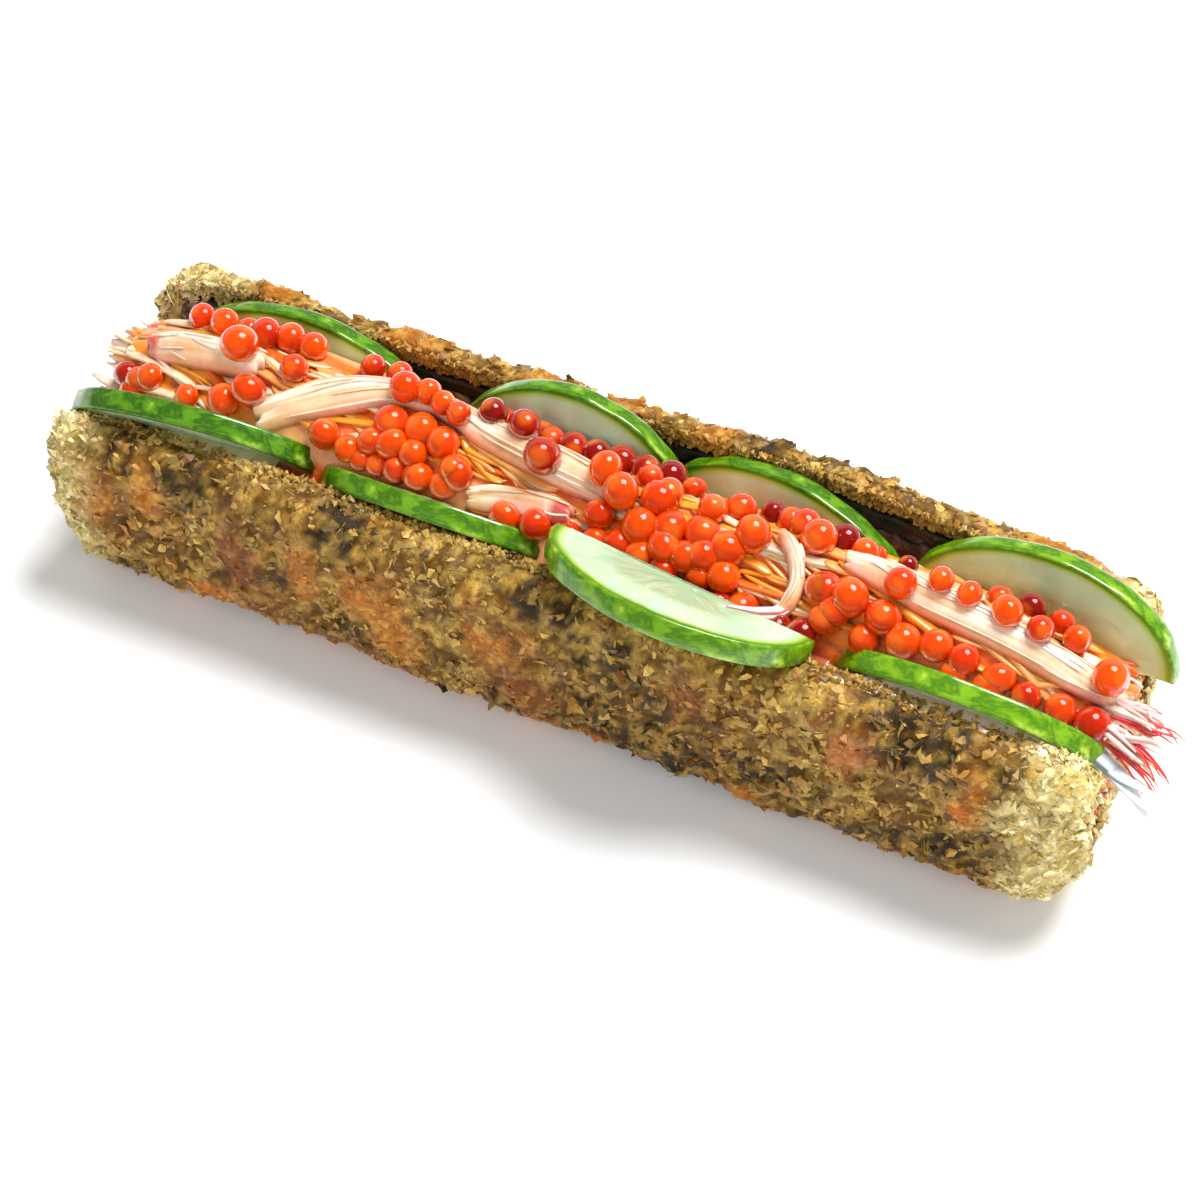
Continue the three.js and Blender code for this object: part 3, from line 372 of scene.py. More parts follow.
def moon_matrix(moon):
    return (Matrix.Translation(Vector(moon["at"])) @ Matrix.Rotation(math.radians(moon["yaw"]), 4, "Z")
            @ Matrix.Rotation(math.radians(-moon["lean"]), 4, "X")
            @ Matrix.Rotation(math.radians(moon["roll"]), 4, "Y"))


def moon_thickness(name):
    return FAR_MOON if "far" in name else NEAR_MOON


INVERSE = {name: np.array(moon_matrix(moon).inverted()) for name, moon in MOONS.items()}


def moon_depth(name, x, y, z, radius):
    """How far a ball reaches into a half moon, across its faces."""
    moon, m = MOONS[name], INVERSE[name]
    lx, ly, lz = [row[0] * x + row[1] * y + row[2] * z + row[3] for row in m[:3]]
    across = moon_thickness(name) / 2 + radius - abs(ly)
    height = moon.get("height", MOON_HEIGHT)
    inside = (lx / (moon["half"] + radius)) ** 2 + (lz / (height + radius)) ** 2 < 1
    return max(across, 0) if inside and lz > -radius else 0


class Curve:
    """A centripetal curve through points in plan."""

    def __init__(self, path):
        self.points = np.array(path, float)
        ts = np.linspace(0, 1, 201)
        steps = np.linalg.norm(np.diff(self.at(ts), axis=0), axis=1)
        self.run = np.concatenate([[0], np.cumsum(steps)])
        self.ts = ts
        self.length = self.run[-1]

    def at(self, ts):
        pts, last = self.points, len(self.points) - 1
        out = []
        for t in np.atleast_1d(ts):
            p = last * t
            i = min(int(math.floor(p)), last - 1)
            w = p - i
            p1, p2 = pts[i], pts[i + 1]
            p0 = pts[i - 1] if i > 0 else 2 * pts[0] - pts[1]
            p3 = pts[i + 2] if i + 2 <= last else 2 * pts[last] - pts[last - 1]
            d0, d1, d2 = [math.dist(a, b) ** 0.5 for a, b in ((p0, p1), (p1, p2), (p2, p3))]
            t1 = ((p1 - p0) / d0 - (p2 - p0) / (d0 + d1) + (p2 - p1) / d1) * d1
            t2 = ((p2 - p1) / d1 - (p3 - p1) / (d1 + d2) + (p3 - p2) / d2) * d1
            c2 = -3 * p1 + 3 * p2 - 2 * t1 - t2
            c3 = 2 * p1 - 2 * p2 + t1 + t2
            out.append(p1 + t1 * w + c2 * w * w + c3 * w ** 3)
        return np.array(out)

    def tangent(self, ts):
        a, b = self.at(np.clip(ts - 1e-4, 0, 1)), self.at(np.clip(ts + 1e-4, 0, 1))
        return unit(b - a)

    def spaced(self, parts):
        return self.at(np.interp(np.linspace(0, self.length, parts + 1), self.run, self.ts))


CURVES = {name: Curve(strip["path"]) for name, strip in STRIPS.items()}
LINES = {name: curve.spaced(40) for name, curve in CURVES.items()}


class Egg:
    pass


def settle(egg):
    """Lays an egg on the filling or on a wide strip, clear of the slices, strips and walls beside it."""
    egg.host = "filling"
    height = float(core_height(egg.x, egg.y))
    for name, strip in STRIPS.items():
        gaps = np.hypot(LINES[name][:, 0] - egg.x, LINES[name][:, 1] - egg.y)
        k = int(gaps.argmin())
        distance, half = float(gaps[k]), strip["width"] / 2
        amount = 0.0
        if distance < half + EGG_PULL * egg.radius and strip["width"] > 1.2 * EGG:
            egg.host = name
            height += STRIP_GAP + strip["thick"] * 0.8
            if distance > half * 0.8:
                amount = half * 0.8 - distance
        elif distance < half + egg.radius + EGG_ROOM:
            amount = half + egg.radius + EGG_ROOM - distance
        d = max(distance, 0.01)
        dx, dy = egg.x - LINES[name][k, 0], egg.y - LINES[name][k, 1]
        egg.x += dx / d * amount
        egg.y += dy / d * amount
    egg.z = height + egg.radius * (1 - EGG_SINK)
    for name in MOONS:
        depth = moon_depth(name, egg.x, egg.y, egg.z, egg.radius + EGG_ROOM)
        egg.y += -depth if "far" in name else depth
    margin = egg.radius + EGG_ROOM
    egg.x = min(max(egg.x, -EGG_REACH), EGG_REACH)
    egg.y = min(max(egg.y, NEAR_SIDE + WALL + margin), FAR_SIDE - WALL - margin - GRAIN_WIDTH / 2)


def apart(a, b):
    return math.sqrt((a.x - b.x) ** 2 + (a.y - b.y) ** 2 + (a.z - b.z) ** 2)


def spread(eggs):
    """Moves eggs that lie too close apart, in plan."""
    for i, a in enumerate(eggs):
        for b in eggs[i + 1:]:
            if abs(a.x - b.x) > 9:
                continue
            both = a.radius + b.radius
            lack = (EGG_PILE * both if a.host == b.host else both + EGG_ROOM) - apart(a, b)
            if lack <= 0:
                continue
            step = 0.5 * lack / max(math.hypot(a.x - b.x, a.y - b.y), 0.01)
            dx, dy = (a.x - b.x) * step, (a.y - b.y) * step
            a.x, a.y, b.x, b.y = a.x + dx, a.y + dy, b.x - dx, b.y - dy


def egg_list():
    """The eggs, settled as in the solid, and the extra ones of the scene."""
    random = stream(EGG_SEED)
    eggs = []
    for start, stop, count, size in DRIFTS:
        for k in range(count):
            t = k / (count - 1) if count > 1 else 0.5
            egg = Egg()
            egg.x = lerp(start[0], stop[0], t) + (random() - 0.5) * 2 * EGG_STRAY
            egg.y = lerp(start[1], stop[1], t) + (random() - 0.5) * 2 * EGG_STRAY
            egg.radius = EGG * size * (1 + EGG_SPREAD * (2 * random() - 1))
            eggs.append(egg)
    for _ in range(EGG_PASSES):
        for egg in eggs:
            settle(egg)
        spread(eggs)
    for i, egg in enumerate(eggs):
        settle(egg)
        ground = egg.z
        for other in eggs[:i]:
            flat = math.hypot(egg.x - other.x, egg.y - other.y)
            touch = EGG_TOUCH * (egg.radius + other.radius)
            if other.host == egg.host and apart(egg, other) < touch:
                egg.z = other.z + math.sqrt(touch * touch - flat * flat)
        egg.lift = egg.z - ground
    kept = []
    for i, egg in enumerate(eggs):
        if egg.lift >= egg.radius * EGG_LIFT:
            continue
        if any(o.host != egg.host and apart(egg, o) < egg.radius + o.radius + EGG_CLEAR for o in eggs[:i]):
            continue
        if any(moon_depth(n, egg.x, egg.y, egg.z, egg.radius + EGG_CLEAR) > 0 for n in MOONS):
            continue
        if any(egg.host != n and np.hypot(LINES[n][:, 0] - egg.x, LINES[n][:, 1] - egg.y).min()
               < STRIPS[n]["width"] / 2 + egg.radius + EGG_CLEAR for n in STRIPS):
            continue
        kept.append(egg)
    for x, y, lift, size in MORE_EGGS:
        egg = Egg()
        egg.x, egg.y, egg.radius, egg.host = x, y, EGG * size, "more"
        egg.z = float(core_height(x, y)) + egg.radius * (1 - EGG_SINK) + lift
        kept.append(egg)
    return kept


# Meshes and materials

def build(name, points, groups, material, node=None, tints=None, values=None, smooth_faces=True,
          matrix=None):
    """A piece from points in mm and groups of faces, each an array with one row of corners a face."""
    mesh = bpy.data.meshes.new(name)
    points = np.asarray(points, float)
    place = points / 1000.0 if matrix is not None else metres(points)
    mesh.vertices.add(len(place))
    mesh.vertices.foreach_set("co", place.astype(np.float32).ravel())
    corners = np.concatenate([np.asarray(g, np.int32).ravel() for g in groups])
    sizes = np.concatenate([np.full(len(g), np.asarray(g).shape[1], np.int32) for g in groups])
    starts = np.concatenate([[0], np.cumsum(sizes)[:-1]]).astype(np.int32)
    mesh.loops.add(len(corners))
    mesh.loops.foreach_set("vertex_index", corners)
    mesh.polygons.add(len(sizes))
    mesh.polygons.foreach_set("loop_start", starts)
    mesh.polygons.foreach_set("use_smooth", np.full(len(sizes), bool(smooth_faces)))
    mesh.update(calc_edges=True)
    if tints is not None:
        layer = mesh.attributes.new("tint", "FLOAT_COLOR", "POINT")
        rgba = np.ones((len(points), 4), np.float32)
        rgba[:, :3] = tints
        layer.data.foreach_set("color", rgba.ravel())
    for key, value in (values or {}).items():
        layer = mesh.attributes.new(key, "FLOAT", "POINT")
        layer.data.foreach_set("value", np.asarray(value, np.float32))
    mesh.validate()
    mesh.materials.append(material)
    piece = bpy.data.objects.new(name, mesh)
    bpy.context.scene.collection.objects.link(piece)
    if matrix is not None:
        piece.matrix_world = matrix
    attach(piece, "root")
    if node:
        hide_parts(node)


def grid_faces(rows, columns, closed=False):
    """Quads over a grid of points; closed joins the last column to the first."""
    width = columns if closed else columns - 1
    r, c = np.meshgrid(np.arange(rows - 1), np.arange(width), indexing="ij")
    a = r * columns + c
    b = r * columns + (c + 1) % columns
    return np.stack([a, b, b + columns, a + columns], -1).reshape(-1, 4)


def flipped(faces):
    return faces[:, ::-1]


def end_caps(rows, n, turned=False):
    """Quads that close the first and the last of some rows of n points, which run out and back."""
    i = np.arange(n // 2 - 1)
    first = np.stack([i, i + 1, n - 2 - i, n - 1 - i], 1)
    last = first + (rows - 1) * n
    return [flipped(first), last] if turned else [first, flipped(last)]


def repeated(faces, n, size):
    """The faces of one form of some size in points, for n of them."""
    return (np.arange(n)[:, None, None] * size + faces[None]).reshape(-1, faces.shape[1])


def swept(xs, loops):
    """Points, faces and length of a row, for a closed outline that changes along the trough."""
    rows = np.array([askew(x, loop[:, 0], loop[:, 1]) for x, loop in zip(xs, loops)])
    n = rows.shape[1]
    return rows.reshape(-1, 3), [flipped(grid_faces(len(xs), n, closed=True)), *end_caps(len(xs), n)], n


class Nodes:
    """A short way to write a material's nodes."""

    def __init__(self, name, **sockets):
        self.material = bpy.data.materials.new(name)
        self.material.use_nodes = True
        self.tree = self.material.node_tree
        self.shader = self.tree.nodes["Principled BSDF"]
        for key, value in sockets.items():
            self.set(key.replace("_", " "), value)

    def set(self, key, value):
        self.link(value, self.shader.inputs[key])

    def node(self, kind, **settings):
        made = self.tree.nodes.new(kind)
        for key, value in settings.items():
            setattr(made, key, value)
        return made

    def link(self, value, socket):
        if hasattr(value, "links"):
            self.tree.links.new(value, socket)
        elif isinstance(value, (tuple, list, np.ndarray)):
            flat = [float(v) for v in value]
            socket.default_value = (*flat, 1.0) if socket.type == "RGBA" and len(flat) == 3 else flat
        else:
            socket.default_value = float(value)

    def attribute(self, name, output="Fac"):
        return self.node("ShaderNodeAttribute", attribute_name=name).outputs[output]

    def place(self):
        return self.node("ShaderNodeTexCoord").outputs["Object"]

    def noise(self, scale, detail=3.0, rough=0.5, where=None, distortion=0.0):
        n = self.node("ShaderNodeTexNoise")
        self.link(where if where is not None else self.place(), n.inputs["Vector"])
        n.inputs["Scale"].default_value = scale
        n.inputs["Detail"].default_value = detail
        n.inputs["Roughness"].default_value = rough
        n.inputs["Distortion"].default_value = distortion
        return n.outputs["Fac"]

    def ramp(self, value, *stops):
        n = self.node("ShaderNodeValToRGB")
        self.link(value, n.inputs["Fac"])
        elements = n.color_ramp.elements
        while len(elements) < len(stops):
            elements.new(0.5)
        for element, (position, c) in zip(elements, stops):
            element.position = position
            c = (c, c, c) if isinstance(c, (int, float)) else c
            element.color = (*[float(v) for v in c], 1.0)
        return n.outputs["Color"]

    def range(self, value, low, high, out_low=0.0, out_high=1.0):
        n = self.node("ShaderNodeMapRange", clamp=True)
        self.link(value, n.inputs["Value"])
        for key, v in (("From Min", low), ("From Max", high), ("To Min", out_low), ("To Max", out_high)):
            self.link(v, n.inputs[key])
        return n.outputs["Result"]

    def math(self, operation, a, b):
        n = self.node("ShaderNodeMath", operation=operation)
        self.link(a, n.inputs[0])
        self.link(b, n.inputs[1])
        return n.outputs[0]

    def mix(self, factor, a, b, mode="MIX"):
        n = self.node("ShaderNodeMix", data_type="RGBA", blend_type=mode)
        self.link(factor, n.inputs["Factor"])
        self.link(a, n.inputs[6])
        self.link(b, n.inputs[7])
        return n.outputs[2]

    def bump(self, height, strength=0.5, distance=0.3):
        n = self.node("ShaderNodeBump")
        n.inputs["Strength"].default_value = strength
        n.inputs["Distance"].default_value = distance / 1000.0
        self.link(height, n.inputs["Height"])
        self.tree.links.new(n.outputs["Normal"], self.shader.inputs["Normal"])


def soft(m, weight, radius, scale):
    """Light that goes a little way into the food: its share, its reach by colour and that reach in mm."""
    m.set("Subsurface Weight", weight)
    m.set("Subsurface Radius", radius)
    m.set("Subsurface Scale", scale / 1000.0)


def tinted(name, rough, grain, stops, coat, coat_rough, **more):
    """A material of the points' own tint, made uneven by a noise of some scale, detail and roughness."""
    m = Nodes(name, Roughness=rough, Coat_Weight=coat, Coat_Roughness=coat_rough, **more)
    speck = m.ramp(m.noise(*grain), *stops)
    m.set("Base Color", m.mix(1.0, m.attribute("tint", "Color"), speck, "MULTIPLY"))
    return m


# Crust: batter and panko

GOLD, BROWN, OLIVE = colour(172, 98, 8), colour(116, 58, 6), colour(140, 98, 16)
PALE, GROUND, BLACK = colour(226, 190, 98), colour(64, 38, 4), colour(24, 20, 5)
ORANGE, PINK = colour(192, 104, 12), colour(168, 92, 38)

# Blotches of bare batter on the near wall: place along, height, half length, half height, kind
BLOTCHES = [
    (-88, 24, 6, 8, "gold"), (-75, 28, 5, 7, "gold"), (-56, 21, 7, 13, "brown"), (-46, 24, 4, 9, "gold"),
    (-29, 20, 7, 14, "gold"), (-9, 25, 7, 9, "gold"), (-3, 14, 8, 9, "brown"), (28, 27, 5, 10, "brown"),
    (57, 29, 6, 6, "pink"), (77, 28, 4.5, 5, "orange"), (-64, 8, 6, 4, "orange"), (-20, 4, 7, 3, "orange"),
    (-2, 5, 6, 4, "gold"), (8, 4, 5, 3, "orange"), (40, 5, 6, 3, "gold"),
]
# Golden blotches along the far rim: place along, half length
RIM_BLOTCHES = [(-74, 5), (-47, 6), (-22, 5), (-4, 5), (14, 4), (74, 5), (84, 4)]


def crust_zones(p, seed=3):
    """For points of the crust: how golden, brown, orange, pink, dark and pale each place is."""
    x, y, z = p[:, 0], p[:, 1], p[:, 2]
    warp = 5.0 * (layered(p, 9, 4, seed) - 0.5)
    warp2 = 5.0 * (layered(p, 9, 4, seed + 5) - 0.5)
    torn = smooth(0.30, 0.58, layered(p, (5, 5, 7), 3, seed + 9))
    out = {k: np.zeros(len(p)) for k in ("gold", "brown", "orange", "pink")}

    def add(kind, amount):
        out[kind] = np.maximum(out[kind], amount)

    near = smooth(2, -10, y)
    for bx, bz, hx, hz, kind in BLOTCHES:
        r = np.sqrt(((x + 2 * warp - bx) / hx) ** 2 + ((z + 2 * warp2 - bz) / hz) ** 2)
        add(kind, smooth(1.45, 0.35, r) * near * lerp(torn, 1, smooth(0.7, 0.3, r)))
    top = smooth(30, 35, z) * smooth(8, 16, y)
    for bx, hx in RIM_BLOTCHES:
        r = np.abs(x + 2 * warp - bx) / hx
        add("gold", smooth(1.3, 0.4, r) * top * lerp(torn, 1, 0.4))
    back = smooth(0, 12, y) * (1 - top)
    add("gold", back * smooth(0.52, 0.62, layered(p, (16, 16, 12), 3, seed + 11)))
    add("brown", back * smooth(0.58, 0.66, layered(p, (14, 14, 10), 3, seed + 23)))
    under = smooth(7, 1.5, z + 1.2 * warp)
    add("orange", under * smooth(0.35, 0.6, layered(p, (9, 9, 9), 2, seed + 31)))
    ends = np.maximum(smooth(-84, -95, x + 1.5 * warp), smooth(80, 90, x + 2.2 * warp))
    rim_left = smooth(-76, -90, x) * smooth(0, 10, y)
    out["pale"] = np.maximum(ends, 0.8 * rim_left)
    low = smooth(27, 14, z) * 0.10
    dark = smooth(0.49, 0.62, layered(p, (17, 17, 11), 3, seed + 41) + low)
    golden = np.clip(out["gold"] + out["brown"] + out["orange"] + out["pink"], 0, 1)
    out["dark"] = dark * (1 - golden) * (1 - out["pale"])
    out["golden"] = golden * (1 - 0.7 * out["pale"])
    return out


def crust_tint(p, zones, bright):
    """Colour of the batter (bright 0) to the loose crumbs (bright 1)."""
    fine = layered(p, 2.2, 2, 51)
    warm = smooth(0.42, 0.62, layered(p, (11, 11, 8), 3, 57))
    ground = blend(lerp(GROUND, OLIVE, 0.3), BLACK, zones["dark"] * 0.85)
    ground = blend(ground, lerp(OLIVE, GOLD, 0.3), smooth(0.55, 0.8, fine) * 0.5)
    light = blend(lerp(OLIVE, PALE, 0.55), lerp(GOLD, PALE, 0.45), warm * 0.65)
    crumb = blend(light, lerp(OLIVE, PALE, 0.25), zones["dark"] * 0.6)
    tint = blend(ground, crumb, np.clip(bright, 0, 1.3))
    lift = lerp(0.8, 1.2, fine)[:, None]
    for kind, c, glow in (("gold", GOLD, colour(206, 150, 62)), ("brown", BROWN, colour(160, 106, 42)),
                          ("orange", ORANGE, colour(214, 150, 62)), ("pink", PINK, colour(196, 138, 84))):
        tint = blend(tint, blend(c, glow, np.clip(bright, 0, 1.3) * 0.75) * lift, zones[kind] * 0.8)
    pale = blend(colour(196, 168, 84), colour(244, 234, 178), np.clip(bright, 0, 1.2))
    return blend(tint, pale, zones["pale"] * 0.85)


def crust_surface():
    """Grid of the crust's outer face, its normals and its inner face."""
    step = detail(*CRUST_STEP)
    xs = np.linspace(-LENGTH / 2, LENGTH / 2, int(LENGTH / step) + 1)
    outer, inner, across = [], [], None
    for x in xs:
        line = wall_line(x, 0, *CRUST_STEPS)
        across = len(line)
        covered = abs(x) <= COVERED_LENGTH / 2 + LAYER_GAP
        inside = wall_line(x, CRUST, *CRUST_STEPS) if covered else resample(channel_line(x), across)
        outer.append(np.column_stack([np.full(across, x), line]))
        inner.append(np.column_stack([np.full(across, x), inside[:, :2]]))
    return xs, np.array(outer), np.array(inner), across


def crust_push(p, zones):
    """How far the crust's lumps, crags and batter stand out at each point."""
    x, y, z = p[:, 0], p[:, 1], p[:, 2]
    lump = LUMP * (np.sin(x / 5.3 + y / 7) * np.sin(z / 6.1 + x / 13) + 0.4)
    crags = BROAD_CRAG * (layered(p, 4.2, 2, 61) - 0.5) + FINE_CRAG * (noise(p, 1.7, 63) - 0.5)
    batter = zones["golden"] * (BATTER + BATTER * (noise(p, 5, 67) - 0.3))
    return lump + crags * (1 - 0.45 * zones["golden"]) + batter


def make_crust():
    """The trough's crust. Returns its points, faces, length of a row's outer half and number of rows."""
    xs, outer, inner, n = crust_surface()
    flat = askew(outer[:, :, 0], outer[:, :, 1], outer[:, :, 2]).reshape(-1, 3)
    normal = np.column_stack([np.zeros(len(flat)), outer[:, :, 3].ravel(), outer[:, :, 4].ravel()])
    zones = crust_zones(flat)
    edge = np.minimum(np.arange(n), n - 1 - np.arange(n))
    push = (crust_push(flat, zones).reshape(len(xs), n) * np.clip(edge / 4 + 0.25, 0, 1)).ravel()
    down = flat[:, 2] < 0.02
    push = np.where(down, np.minimum(push, 0) * 0.3, push)
    skin = flat + normal * push[:, None]
    out_x = np.repeat(np.abs(xs) > LENGTH / 2 - 2.5, n)
    skin[:, 0] += np.where(out_x, END_CRAG * (noise(flat, 2.4, 71) - 0.5), 0)
    skin[:, 2] = np.maximum(skin[:, 2], SKIN_FLOOR)
    inside = askew(inner[:, :, 0], inner[:, :, 1], inner[:, :, 2])
    ring = np.concatenate([skin.reshape(len(xs), n, 3), inside[:, ::-1]], 1)
    points = ring.reshape(-1, 3)
    groups = [flipped(grid_faces(len(xs), 2 * n, closed=True))]
    # End faces: a few rings from the outer line to the channel, with crags along x
    extra = []
    offset = len(points)
    for side, k in ((-1, 0), (1, len(xs) - 1)):
        a, b = ring[k, :n], ring[k, n:][::-1]
        block = np.array([lerp(a, b, t) for t in np.arange(1, END_RINGS) / END_RINGS]).reshape(-1, 3)
        block[:, 0] += side * 1.1 * (layered(block, 3.4, 2, 73) - 0.35)
        extra.append(block)
        index = np.vstack([k * 2 * n + np.arange(n), offset + np.arange(len(block)).reshape(-1, n),
                           k * 2 * n + 2 * n - 1 - np.arange(n)])
        offset += len(block)
        quads = np.stack([index[:-1, :-1], index[:-1, 1:], index[1:, 1:], index[1:, :-1]], -1).reshape(-1, 4)
        groups.append(quads if side < 0 else flipped(quads))
    points = np.vstack([points] + extra)
    zones_all = crust_zones(points)
    relief = layered(points, 1.9, 2, 59)
    tints = crust_tint(points, zones_all, 0.75 * smooth(0.42, 0.72, relief))
    m = tinted("batter", 0.42, (900, 4, 0.6), ((0.3, 0.55), (0.5, 1.0), (0.72, 1.5)), 0.06, 0.25,
               Specular_IOR_Level=0.2)
    m.set("Roughness", m.range(m.noise(320, 2), 0.35, 0.65, 0.28, 0.62))
    m.bump(m.noise(1300, 4, 0.65), 0.8, 0.5)
    build("crust", points, groups, m.material, "panko_crust", tints)
    return points, groups, n, len(xs)


def hosts(points, faces, count, rng, density):
    """Random places on quads, by area and density, with their normals."""
    a, b, c, d = [points[faces[:, k]] for k in range(4)]
    cross = np.cross(c - a, d - b)
    area = np.linalg.norm(cross, axis=1) / 2
    middle = (a + b + c + d) / 4
    weight = area * density(middle)
    pick = rng.choice(len(faces), count, p=weight / weight.sum())
    s, t = rng.random(count)[:, None], rng.random(count)[:, None]
    place = (a[pick] * (1 - s) * (1 - t) + b[pick] * s * (1 - t) + c[pick] * s * t + d[pick] * (1 - s) * t)
    return place, unit(cross[pick])


def frames(normal, rng, tilt):
    """Random frames (side, along, up) around normals, tilted by up to some angle each."""
    up = unit(normal + rng.normal(size=normal.shape) * tilt[:, None])
    side = unit(np.cross(up, rng.normal(size=normal.shape)))
    return side, np.cross(up, side), up


def shards(place, normal, size, slim, thick, tilt, rng, ring=5):
    """Angular flakes: an uneven ring of corners with a point above and one below."""
    n = len(place)
    side, along, up = frames(normal, rng, tilt)
    angle = (np.arange(ring)[None, :] + rng.uniform(-0.32, 0.32, (n, ring))) * 2 * np.pi / ring
    radius = size[:, None] * rng.uniform(0.6, 1.1, (n, ring))
    bend = rng.uniform(-0.22, 0.22, (n, ring)) * size[:, None]
    u = np.cos(angle) * radius
    v = np.sin(angle) * radius * slim[:, None]
    corner = (place[:, None] + side[:, None] * u[..., None] + along[:, None] * v[..., None]
              + up[:, None] * bend[..., None])
    shift = rng.uniform(-0.3, 0.3, (n, 2)) * size[:, None]
    middle = place + side * shift[:, :1] + along * shift[:, 1:] * slim[:, None]
    top = middle + up * thick[:, None]
    bottom = middle - up * thick[:, None]
    points = np.concatenate([corner, top[:, None], bottom[:, None]], 1)
    k = np.arange(ring)
    over = np.stack([k, (k + 1) % ring, np.full(ring, ring)], 1)
    below = np.stack([(k + 1) % ring, k, np.full(ring, ring + 1)], 1)
    return points, repeated(np.concatenate([over, below]), n, ring + 2)


def crumb_material(name, rough, weight):
    m = tinted(name, rough, (1500, 3, 0.6), ((0.3, 0.72), (0.55, 1.0), (0.75, 1.3)), weight, 0.15)
    soft(m, 0.12, (1.0, 0.6, 0.25), 0.7)
    m.bump(m.noise(2200, 3, 0.6), 0.5, 0.15)
    return m.material


def in_moon_frame(name, points):
    m = INVERSE[name]
    return points @ m[:3, :3].T + m[:3, 3]


def clear_of_moons(place, margin):
    """False for places inside a half moon grown by a margin."""
    keep = np.ones(len(place), bool)
    for name, moon in MOONS.items():
        local = in_moon_frame(name, place)
        height = moon.get("height", MOON_HEIGHT)
        inside = ((local[:, 0] / (moon["half"] + margin)) ** 2
                  + (local[:, 2] / (height + margin)) ** 2 < 1) & (local[:, 2] > -margin)
        keep &= ~(inside & (np.abs(local[:, 1]) < moon_thickness(name) / 2 + margin))
    return keep


def scatter(points, faces, count, rng, density, room, lowest=0.0):
    """Random places on the crust clear of the slices, with their normals, number and zones."""
    place, normal = hosts(points, faces, count, rng, density)
    keep = clear_of_moons(place, room) & (place[:, 2] > lowest)
    place, normal = place[keep], normal[keep]
    return place, normal, len(place), crust_zones(place)


def lay(name, pts, tri, tint, *look):
    """A piece of crumbs, none below the floor; look is their material's name, roughness and coat."""
    flat = pts.reshape(-1, 3)
    flat[:, 2] = np.maximum(flat[:, 2], CRUMB_FLOOR)
    tints = np.repeat(tint, pts.shape[1], 0)
    build(name, flat, [tri], crumb_material(*look), tints=tints, smooth_faces=False)


def make_fringe(rng):
    """Crumbs that hang over the far rim's inner edge, and close the near rim's gap to the slices."""
    count = detail(*FRINGE)
    x = rng.uniform(-97, 97, count)
    hang = rng.random(count) ** 1.5 * lerp(3.4, 5.5, smooth(-78, -90, x))
    edge = shape_at(x)
    place = askew(x, edge["far"] - RIM_RADIUS - 0.1 - 0.45 * rng.random(count), edge["far_rim"] - 0.2 - hang)
    near = rng.random(count) < 0.5
    place[near] = askew(x, NEAR_SIDE + RIM_RADIUS + 2.8 * rng.random(count),
                        edge["near_rim"] - 0.9 + 0.9 * rng.random(count))[near]
    place = place[clear_of_moons(place, FRINGE_ROOM)]
    count = len(place)
    size = rng.uniform(0.4, 1.15, count)
    pts, tri = shards(place, rng.normal(0, 0.5, (count, 3)) + [0, -0.6, 0.9], size,
                      rng.uniform(0.5, 0.95, count), size * rng.uniform(0.2, 0.5, count),
                      rng.uniform(0.2, 0.8, count), rng)
    tint = crust_tint(place, crust_zones(place), np.clip(rng.normal(0.55, 0.3, count), 0, 1.1))
    lay("rim_fringe", pts, tri, tint, "fringe", 0.5, 0.1)


